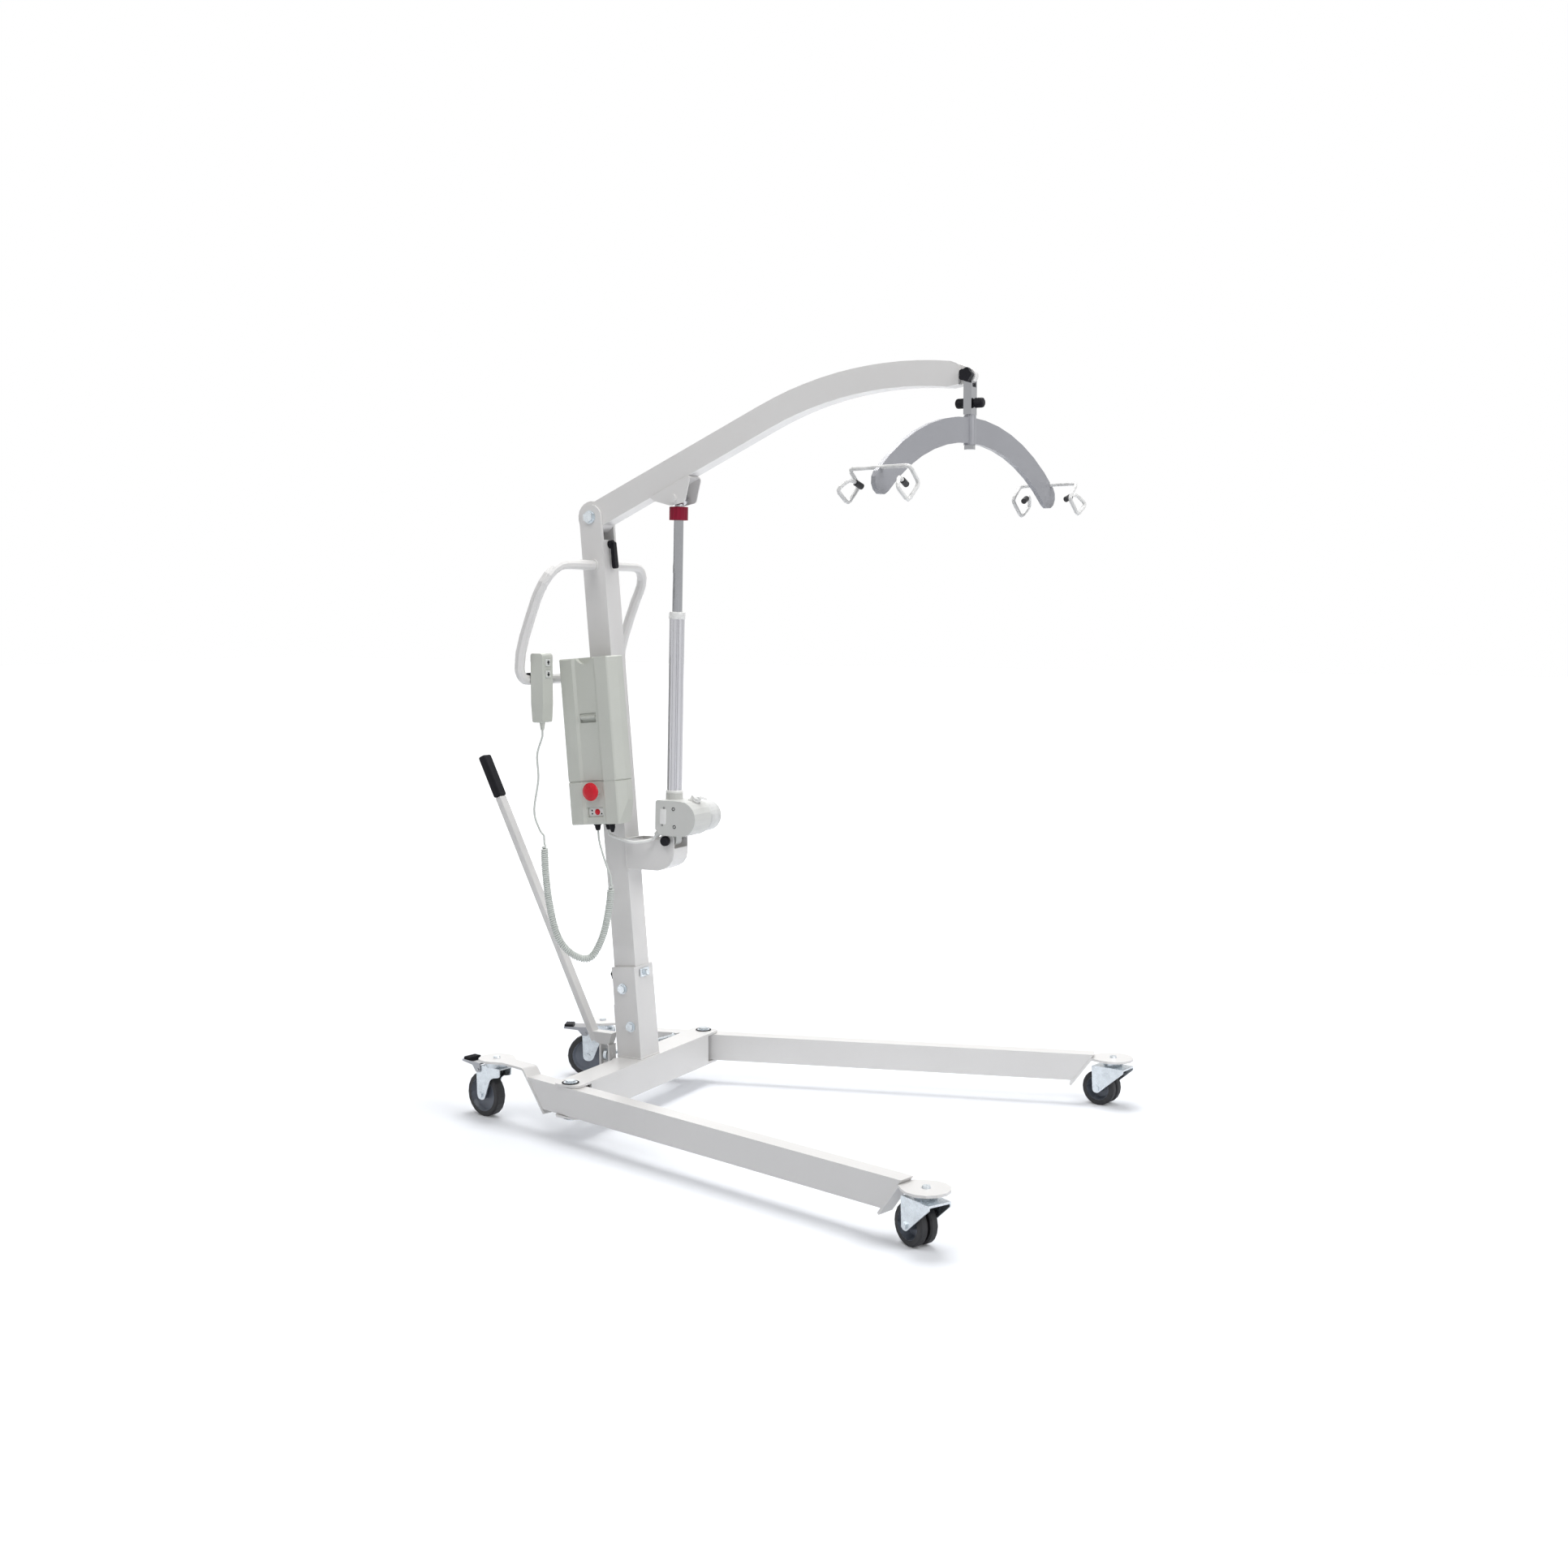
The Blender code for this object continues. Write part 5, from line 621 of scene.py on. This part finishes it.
def skin(name, grid, material, body, crease=40, ring=False):
    """A closed skin over rows x columns points; a ring joins its last row to its first."""
    rows, columns = grid.shape[:2]
    index = np.arange(rows * columns).reshape(rows, columns)
    after = np.roll(index, -1, axis=0) if ring else index[1:]
    before = index if ring else index[:-1]
    quads = np.stack(
        [before, np.roll(before, -1, axis=1), np.roll(after, -1, axis=1), after], axis=-1,
    ).reshape(-1, 4)
    points = grid.reshape(-1, 3)
    triangles = np.concatenate([quads[:, [0, 1, 2]], quads[:, [0, 2, 3]]])
    fans = np.empty((0, 3), int)
    if not ring:
        low, high = len(points), len(points) + 1
        points = np.concatenate([points, grid[[0, -1]].mean(axis=1)])
        first, last = index[0], index[-1]
        fans = np.concatenate([
            np.stack([np.roll(first, -1), first, np.full(columns, low)], axis=1),
            np.stack([last, np.roll(last, -1), np.full(columns, high)], axis=1),
        ])
    a, b, c = (points[np.concatenate([triangles, fans])[:, corner]] for corner in range(3))
    if np.einsum("ij,ij->i", a, np.cross(b, c)).sum() < 0:
        quads, fans = quads[:, ::-1], fans[:, ::-1]
    mesh = bpy.data.meshes.new(name)
    mesh.from_pydata(points.tolist(), [], quads.tolist() + fans.tolist())
    mesh.shade_smooth()
    mesh.set_sharp_from_angle(angle=math.radians(crease))
    mesh.materials.append(material)
    piece = bpy.data.objects.new(name, mesh)
    bpy.context.scene.collection.objects.link(piece)
    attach(piece, body)
    return piece


def unit(vector):
    """The same direction with length one, for each row of a vector array."""
    vector = np.asarray(vector, float)
    return vector / np.linalg.norm(vector, axis=-1, keepdims=True)


def turned(name, profile, centre, axis, material, body, columns=40, crease=40, lobes=0, swell=0):
    """A turned piece: centre + along x axis + radius x (side cos angle + across sin angle).

    For a star knob the radius also swells: radius x (1 + swell x cos (lobes x angle)).
    """
    along, radius = np.array(profile, float).T * MILLIMETRE
    axis = unit(axis)
    side = unit(np.cross(axis, (0.31, 0.17, 0.93) if abs(axis[2]) < 0.9 else (1, 0, 0)))
    across = np.cross(axis, side)
    angle = np.linspace(0, math.tau, columns, endpoint=False)
    lobe = 1 + swell * np.cos(lobes * angle)
    circle = (side * np.cos(angle)[:, None] + across * np.sin(angle)[:, None]) * lobe[:, None]
    grid = centre + along[:, None, None] * axis + radius[:, None, None] * circle
    return skin(name, grid, material, body, crease)


DROP_LENGTH = 2.6


def bead(name, path, radius, material, body, facing, columns=10, closed=False, ripple=0.12):
    """A weld bead along a path: a tube of radius x (1 + ripple x sin) with one bump a drop.

    At each point the side is the path's tangent crossed with a fixed direction, and across is
    the tangent crossed with that side.
    """
    path = np.asarray(path, float)
    steps = np.roll(path, -1, axis=0) - path if closed else np.gradient(path, axis=0)
    travelled = np.concatenate([[0], np.cumsum(np.linalg.norm(np.diff(path, axis=0), axis=1))])
    tangent = unit(steps)
    side = unit(np.cross(tangent, np.asarray(facing, float)))
    across = np.cross(tangent, side)
    drops = travelled / MILLIMETRE / DROP_LENGTH
    swell = radius * MILLIMETRE * (1 + ripple * np.sin(drops * math.tau))
    if not closed:
        taper = np.minimum(np.arange(len(path)), np.arange(len(path))[::-1])
        swell = swell * np.clip(0.35 + taper * 0.25, 0, 1)
    angle = np.linspace(0, math.tau, columns, endpoint=False)
    ring = side[:, None] * np.cos(angle)[:, None] + across[:, None] * np.sin(angle)[:, None]
    return skin(name, path[:, None] + swell[:, None, None] * ring, material, body, 60, closed)


def slab(name, outline, carrier, plane, level, thickness, edge, material, body):
    """A flat piece with rounded edges, from an outline in millimetres in a carrier's plane.

    Its rows are the outline drawn in towards its middle by the edge, the full outline twice, and
    the drawn-in outline again. plane names the two carrier axes that the outline is drawn on.
    """
    outline = np.asarray(outline, float)
    middle = outline.mean(axis=0)
    offset = outline - middle
    size = np.linalg.norm(offset, axis=1, keepdims=True)
    drawn_in = middle + offset * (1 - np.minimum(edge / size, 0.6))
    rows = []
    lift = (0, edge * 0.3, edge, thickness - edge, thickness - edge * 0.3, thickness)
    share = (1, 0.35, 0, 0, 0.35, 1)
    for rise, inward in zip(lift, share):
        row = np.zeros((len(outline), 3))
        row[:, plane[0]], row[:, plane[1]] = (outline + (drawn_in - outline) * inward).T
        row[:, 3 - sum(plane)] = level + rise
        rows.append(row)
    return skin(name, on(carrier, np.array(rows)), material, body, 45)


def rounded_box(half_width, half_height, power=5.0, count=48, centre=(0, 0)):
    """A superellipse: |x / w| ^ power + |y / h| ^ power = 1, turned into count points."""
    angle = np.linspace(0, math.tau, count, endpoint=False)
    x, y = np.cos(angle), np.sin(angle)
    x, y = np.sign(x) * np.abs(x) ** (2 / power), np.sign(y) * np.abs(y) ** (2 / power)
    return np.stack([x * half_width + centre[0], y * half_height + centre[1]], axis=1)


def dense(corners, spacing, closed=False):
    """A line of corners cut into steps of about a spacing, in millimetres."""
    corners = np.asarray(corners, float)
    if closed:
        corners = np.concatenate([corners, corners[:1]])
    gone = np.concatenate([[0], np.cumsum(np.linalg.norm(np.diff(corners, axis=0), axis=1))])
    count = max(3, round(gone[-1] / spacing))
    wanted = np.linspace(0, gone[-1], count + 1)
    line = np.stack([np.interp(wanted, gone, corners[:, axis]) for axis in range(3)], axis=1)
    return line[:-1] if closed else line


print("skins can be made")

# %% [markdown]
# ## The actuator's tube and screws
#
# The actuator's outer tube is an aluminium extrusion with shallow flutes down its length, closed
# by a pale ring. The solid is a plain pipe, so a fluted one takes its place: its radius is the
# plain radius minus a dip repeated eight times round. The housing's screws show as dark wells in
# its face.

# %% Flutes, ring and screws
TUBE_RADIUS, TUBE_START, TUBE_END = 16.5, 106.0, 484.5
FLUTES = 8
FLUTE_DEPTH = 2.0
FLUTE_TURN = 0.9
TUBE_CHAMFER = 0.6
angle = np.linspace(0, math.tau, 128, endpoint=False)
dip = np.clip(np.cos(angle * FLUTES + FLUTE_TURN) * 1.5 - 0.3, 0, 1)
round_radius = TUBE_RADIUS - FLUTE_DEPTH * dip
heights = np.array([TUBE_START, TUBE_START + TUBE_CHAMFER, TUBE_END])
narrow = np.array([TUBE_CHAMFER, 0.0, 0.0])
radius = round_radius[None] - narrow[:, None]
tube_grid = np.stack([
    radius * np.cos(angle), radius * np.sin(angle), np.broadcast_to(heights[:, None], radius.shape),
], axis=-1)
fluted_tube = skin("fluted_tube", on(ACTUATOR, tube_grid), aluminium, "actuator", 25)
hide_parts("outer_tube")
actuator_axis = ACTUATOR[1][2]
turned(
    "tube_ring", [
        (484, 16), (484, 17.6), (484.6, 18), (498, 18), (499.4, 17.4), (500, 16), (500, 12),
    ], on(ACTUATOR, (0, 0, 0)), actuator_axis, white_plastic, "actuator", 48,
)
turned(
    "tube_foot", [(103, 17), (103, 18.6), (104, 19.2), (108, 19.2), (109.5, 18.2), (110, 17)],
    on(ACTUATOR, (0, 0, 0)), actuator_axis, white_plastic, "actuator", 48,
)
HOUSING_FACE = -45.0
OUTWARD = (0, -1, 0)
WELL = [(-1, 4.0), (0.35, 4.0), (0.6, 3.7), (0.6, 3.1), (0.1, 2.9), (-0.2, 1.4), (-0.2, 0.5)]
SMALL_WELL = [(along, radius * 0.55) for along, radius in WELL]
for number, (x, z, profile) in enumerate((
    (25, 73, WELL), (28, 34, WELL), (1, 74, SMALL_WELL), (-3, 36, SMALL_WELL),
), 1):
    turned(
        f"housing_screw_{number}", profile, on(ACTUATOR, (x, HOUSING_FACE, z)), OUTWARD,
        black_plastic, "actuator", 28,
    )
slab(
    "housing_plate", rounded_box(8, 17, 8, centre=(-1, 55)), ACTUATOR, (0, 2), HOUSING_FACE - 0.7,
    1.0, 0.3, white_plastic, "actuator",
)
print("actuator dressed")

# %% [markdown]
# ## The control box
#
# Below the red stop button a small red lamp sits in a pocket, with two dark points on its left and
# one on its right. The lamp is a low dome whose profile is a quarter of an ellipse. Under the box
# a third plug fills the spare socket, and the two sockets with a cord have a dark collar.

# %% Lamp, marks and the spare plug
POCKET_FLOOR = -91.2
LAMP_HEIGHT = 569.0
lamp_rise = np.linspace(0, 1, 10)
dome = [(0, 6.6), (1.2, 6.6), (1.5, 6.2)] + [
    (1.5 + 3.2 * math.sin(t * math.pi / 2), 5.4 * math.cos(t * math.pi / 2) + 0.05)
    for t in lamp_rise
]
turned(
    "status_lamp", dome, on(MAST, (3, POCKET_FLOOR, LAMP_HEIGHT)), OUTWARD, red_plastic, "base",
)
pocket = rounded_box(18.6, 9.6, 8, centre=(0, LAMP_HEIGHT))
slab("lamp_panel", pocket, MAST, (0, 2), POCKET_FLOOR - 0.4, 0.8, 0.2, white_plastic, "base")
for number, (x, up) in enumerate(((-11, 3.5), (-11, -3.5), (13.5, -4)), 1):
    turned(
        f"panel_point_{number}", [(0, 1.8), (0.9, 1.7), (1.2, 1.2), (1.3, 0.2)],
        on(MAST, (x, POCKET_FLOOR - 0.3, LAMP_HEIGHT + up)), OUTWARD, black_plastic, "base", 20,
    )
mast_up = MAST[1][2]
BOX_BOTTOM = 542.0
PLUG = [
    (0.5, 7.5), (-2.0, 7.5), (-2.6, 6.9), (-2.7, 6.4), (-9, 6.4), (-9.6, 5.9), (-12, 5.2),
    (-18, 3.4), (-19, 2.4),
]
turned(
    "spare_plug", PLUG, on(MAST, (32, -82, BOX_BOTTOM - 0.4)), mast_up, black_plastic, "base", 28,
)
for name, (x, y) in {"handset": HANDSET_PLUG, "actuator": ACTUATOR_PLUG}.items():
    turned(
        f"{name}_socket_collar", [(-0.2, 5), (-0.2, 8.2), (-0.9, 8.8), (-2.4, 8.8), (-3, 8.2), (-3, 5)],
        on(MAST, (x, y, BOX_BOTTOM)), mast_up, black_plastic, "base", 28,
    )
print("control box dressed")

# %% [markdown]
# ## The handset
#
# The two keys are pale like the case and carry dark arrow marks, one up and one down, which say
# what the boom will do. An arrow is an outline of seven corners, thickened into a thin slab.

# %% Arrow marks on the keys
KEY_FACE = -130.0
HANDSET_Y = -156.0
ARROW = np.array([(0, 6), (6, 0), (2.4, 0), (2.4, -5), (-2.4, -5), (-2.4, 0), (-6, 0)], float)
for name, body, height, sense in (
    ("up_arrow", "up_key", 1010, 1), ("down_arrow", "down_key", 985, -1),
):
    outline = ARROW * (0.85, sense * 0.85) + (HANDSET_Y, height)
    slab(name, outline, FLOOR, (1, 2), KEY_FACE - 0.1, 0.7, 0.12, black_plastic, body)
print("keys marked")

# %% [markdown]
# ## Castors and brake pads
#
# Each rear castor has a pressed steel pedal with a ribbed black pad for the foot. The pads are
# placed from the castor's swivel: a heading says which way the castor points, and the pad lies
# along it. Each wheel gets a moulded cap over its bearing on both sides, and the front castors
# get the dark seal between their plate and fork.

# %% Pads, caps and seals
REAR_SWIVEL, FRONT_SWIVEL = -252.0, 965.0
LEG_PIVOT_Y = 277.0
SPLAY = math.radians(15.2)
PAD_START, PAD_LENGTH, PAD_HALF_WIDTH = 71.0, 20.5, 16.0
PAD_LEVEL = 107.0 + 19.6


def castor_frame(side, distance, heading):
    """A carrier frame at a castor's swivel, with X along its heading."""
    turn = SPLAY * side
    place = (distance * math.cos(turn), LEG_PIVOT_Y * side + distance * math.sin(turn), 0.0)
    facing = math.radians(heading)
    along = (math.cos(facing), math.sin(facing), 0.0)
    across = (-math.sin(facing), math.cos(facing), 0.0)
    return np.array(place), np.array([along, across, (0.0, 0.0, 1.0)])


CASTORS = {
    "rear_right": castor_frame(-1, REAR_SWIVEL, 168.7),
    "rear_left": castor_frame(1, REAR_SWIVEL, 204.9),
    "front_right": castor_frame(-1, FRONT_SWIVEL, 152.2),
    "front_left": castor_frame(1, FRONT_SWIVEL, 169.5),
}
RIBS = 6
for side in ("left", "right"):
    home = CASTORS[f"rear_{side}"]
    length = np.linspace(0, PAD_LENGTH, 6 * RIBS + 1)
    rib = 0.9 * np.clip(np.sin(length / PAD_LENGTH * math.tau * RIBS) * 1.6, -1, 1)
    top = PAD_LEVEL + 1.4 + rib * 0.6
    top[[0, -1]] = PAD_LEVEL + 0.4
    section = np.array([
        (-1, -6.0), (-1, 0.0), (-0.93, 1.0), (0.93, 1.0), (1, 0.0), (1, -6.0),
    ])
    grid = np.zeros((len(length), len(section), 3))
    grid[..., 0] = (PAD_START + length)[:, None]
    grid[..., 1] = section[:, 0] * PAD_HALF_WIDTH
    above = np.clip(section[:, 1], 0, 1)
    grid[..., 2] = PAD_LEVEL + section[:, 1].clip(-6, 0) + (top - PAD_LEVEL)[:, None] * above
    skin(f"brake_pad_{side}", on(home, grid), black_plastic, f"{side}_brake", 25)

CAP = [(-1, 9.5), (0.2, 9.5), (0.9, 8.9), (1.2, 7.6), (1.2, 7.2), (0.4, 6.9), (0.4, 3)]
for wheel, home in CASTORS.items():
    roll = joints[f"{wheel}_roll"]
    axle, axis = np.array(roll["pos_m"]), unit(roll["axis"])
    half = 13.2 if wheel.startswith("rear") else 20.8
    for number, sense in enumerate((1, -1), 1):
        turned(
            f"{wheel}_cap_{number}", CAP, axle + axis * sense * half * MILLIMETRE, axis * sense,
            wheel_grey, f"{wheel}_roller", 32,
        )
for wheel in ("front_left", "front_right"):
    turned(
        f"{wheel}_seal", [(101, 19), (101, 21), (101.8, 22), (104.2, 22), (105, 21), (105, 19)],
        on(CASTORS[wheel], (0, 0, 0)), (0, 0, 1), black_plastic, f"{wheel}_caster", 40,
    )
print("castors dressed")

# %% [markdown]
# ## Leg pivots and the mast clamp
#
# Where a leg turns on the cross beam, a black nylon washer shows round the bolt above and below.
# At the back of the socket a small black star knob tightens the clamp on the mast. A star knob is
# a turned piece whose radius also swells with the cosine of six times the angle.

# %% Pivot washers and the clamp knob
WASHER = [(-0.2, 13), (-0.2, 18), (0.4, 18.6), (1.2, 18.6), (1.6, 18), (1.6, 13.6)]
for side, y in (("left", LEG_PIVOT_Y), ("right", -LEG_PIVOT_Y)):
    for name, height, sense in (("top", 125.2, 1), ("bottom", 51.8, -1)):
        turned(
            f"pivot_washer_{side}_{name}", WASHER, on(FLOOR, (0, y, height)), (0, 0, sense),
            black_plastic, "base", 44,
        )

SOCKET_BACK = -30.8
CLAMP_UP = 193
turned(
    "clamp_knob", [
        (7, 4), (7, 9), (8, 11.5), (10, 13), (17, 13), (19.5, 11.5), (20.5, 8), (20.5, 0.5),
    ], on(MAST, (SOCKET_BACK, 0, CLAMP_UP)), -MAST[1][0], black_plastic, "base", 72, 50,
    lobes=6, swell=0.09,
)
turned(
    "clamp_stud", [(-1, 4.2), (8, 4.2), (9, 3)], on(MAST, (SOCKET_BACK, 0, CLAMP_UP)),
    -MAST[1][0], zinc, "base", 24,
)
print("pivots and clamp dressed")

# %% [markdown]
# ## Weld beads
#
# The frame is welded before it is coated, so its joints show a soft, faintly rippled bead under
# the powder. Beads are laid at the socket's foot, the handle and the two brackets of the actuator.
# A bead is a thin tube along the joint: its radius swells a little for each drop of weld. It has
# the same finish as the tubes.

# %% Beads round the joints
SOCKET_HALF_DEPTH, SOCKET_HALF_WIDTH = 30.8, 38.0
BEAM_TOP = 125.0
THICK_BEAD, THIN_BEAD = 2.2, 1.7
BEAD_STEP = 1.0
BEAD_ABOVE_BEAM = 1.2
foot_up = (BEAM_TOP - MAST_FOOT_UP) + BEAD_ABOVE_BEAM
foot = [
    (-SOCKET_HALF_DEPTH, -SOCKET_HALF_WIDTH), (SOCKET_HALF_DEPTH, -SOCKET_HALF_WIDTH),
    (SOCKET_HALF_DEPTH, SOCKET_HALF_WIDTH), (-SOCKET_HALF_DEPTH, SOCKET_HALF_WIDTH),
]
lean = math.tan(math.radians(MAST_LEAN))
around_foot = dense([(x, y, foot_up - x * lean) for x, y in foot], BEAD_STEP, closed=True)
bead("weld_socket_foot", on(MAST, around_foot), THICK_BEAD, coat, "base", (0, 0, 1), closed=True)
HANDLE_MIDDLE = (-96.6, 1222.0)
HANDLE_BEAD_RADIUS = 12.0
MAST_SIDE = 29.0
BOOM_BRACKET_START, BOOM_BRACKET_END = 158, 260
BOOM_BRACKET_SIDE, BOOM_UNDERSIDE = 21.2, -28.6
ACTUATOR_BRACKET_LOW, ACTUATOR_BRACKET_HIGH = 439, 502
MAST_FRONT_EDGE, MAST_CORNER = 27.2, 28.9
angle = np.linspace(0, math.tau, 70, endpoint=False)
for side, y in (("left", MAST_SIDE), ("right", -MAST_SIDE)):
    ring = np.stack([
        HANDLE_MIDDLE[0] + HANDLE_BEAD_RADIUS * np.cos(angle), np.full(70, y),
        HANDLE_MIDDLE[1] + HANDLE_BEAD_RADIUS * np.sin(angle),
    ], axis=1)
    bead(f"weld_handle_{side}", on(FLOOR, ring), THIN_BEAD, coat, "base", (0, 1, 0), closed=True)
    sign = math.copysign(1, y)
    across = sign * BOOM_BRACKET_SIDE
    under_boom = dense([
        (BOOM_BRACKET_START, across, BOOM_UNDERSIDE), (BOOM_BRACKET_END, across, BOOM_UNDERSIDE),
    ], BEAD_STEP)
    bead(
        f"weld_boom_bracket_{side}", on(BOOM, under_boom), THIN_BEAD, coat, "boom_arm", (0, 1, 0.3),
    )
    corner = (MAST_FRONT_EDGE, sign * MAST_CORNER)
    up_mast = dense([(*corner, ACTUATOR_BRACKET_LOW), (*corner, ACTUATOR_BRACKET_HIGH)], BEAD_STEP)
    bead(
        f"weld_actuator_bracket_{side}", on(MAST, up_mast), THIN_BEAD, coat, "base", (1, 0.3, 0),
    )
print("welds laid")

# %% [markdown]
# ## The studio
#
# The picture has a plain white ground with soft bluish shadows under the wheels. Large soft lamps
# light the machine at a plain level. The world looks white to the camera, and also in
# reflections, through the Light Path node, so no lamp has to bleach anything. The floor glows a
# little in the same way, and more the further it is from the machine, so that no band shows where
# it meets the world.

# %% Floor, world and lamps
SHADOW_BLUE = (0.88, 0.90, 0.94)
FLOOR_LIFT = 0.08
FLOOR_LIFT_REACH = (1.0, 2.8)
WORLD_LEVEL = 0.24


def seen(material):
    """One where a ray comes from the camera, a reflection or a transmission."""
    path = add(material, "ShaderNodeLightPath")
    total = path.outputs["Is Camera Ray"]
    for name in ("Is Glossy Ray", "Is Transmission Ray"):
        larger = add(material, "ShaderNodeMath", operation="MAXIMUM")
        wire(material, total, larger.inputs[0])
        wire(material, path.outputs[name], larger.inputs[1])
        total = larger.outputs["Value"]
    return total


white_floor = bpy.data.materials.new("white_floor")
white_floor.use_nodes = True
floor_shader = white_floor.node_tree.nodes["Principled BSDF"]
floor_shader.inputs["Base Color"].default_value = (*SHADOW_BLUE, 1)
floor_shader.inputs["Roughness"].default_value = 0.9
floor_shader.inputs["Specular IOR Level"].default_value = 0.1
floor_shader.inputs["Emission Color"].default_value = (1, 1, 1, 1)
floor_place = add(white_floor, "ShaderNodeTexCoord")
floor_distance = add(white_floor, "ShaderNodeVectorMath", operation="LENGTH")
wire(white_floor, floor_place.outputs["Object"], floor_distance.inputs[0])
lift_level = spread(
    white_floor, floor_distance.outputs["Value"], FLOOR_LIFT, 1.0, *FLOOR_LIFT_REACH,
)
lift = add(white_floor, "ShaderNodeMath", operation="MULTIPLY")
wire(white_floor, lift_level, lift.inputs[1])
wire(white_floor, seen(white_floor), lift.inputs[0])
wire(white_floor, lift.outputs["Value"], floor_shader.inputs["Emission Strength"])
floor_mesh = bpy.data.meshes.new("floor")
corners = [(x, y, 0) for x, y in ((-30, -30), (30, -30), (30, 30), (-30, 30))]
floor_mesh.from_pydata(corners, [], [(0, 1, 2, 3)])
floor_mesh.materials.append(white_floor)
floor = bpy.data.objects.new("floor", floor_mesh)
bpy.context.scene.collection.objects.link(floor)

world = bpy.data.worlds.new("pale_room")
world.use_nodes = True
bpy.context.scene.world = world
background = world.node_tree.nodes["Background"]
background.inputs["Color"].default_value = (1, 1, 1, 1)
level = add(world, "ShaderNodeMapRange")
level.inputs["To Min"].default_value = WORLD_LEVEL
level.inputs["To Max"].default_value = 1.0
wire(world, seen(world), level.inputs["Value"])
wire(world, level.outputs["Result"], background.inputs["Strength"])


def lamp(name, place, aim, width, power):
    """A square soft lamp that looks from its place towards a point."""
    data = bpy.data.lights.new(name, "AREA")
    data.size = width
    data.energy = power
    light = bpy.data.objects.new(name, data)
    light.location = place
    look = np.array(aim, float) - np.array(place, float)
    light.rotation_euler = (
        math.atan2(math.hypot(look[0], look[1]), -look[2]), 0, math.atan2(-look[0], look[1]),
    )
    bpy.context.scene.collection.objects.link(light)


lamp("key_lamp", (-0.1, -2.0, 3.4), (0.1, 0, 1.4), 1.6, 31)
lamp("side_lamp", (3.1, -0.6, 2.7), (0, 0, 1.1), 1.8, 56)
lamp("top_lamp", (-0.2, 0.8, 4.0), (0.1, 0, 0.3), 2.2, 112)
lamp("rear_lamp", (-2.6, 2.4, 2.2), (0, 0, 0.9), 2.0, 16)
bpy.context.scene.view_settings.view_transform = "Standard"
print("studio ready")
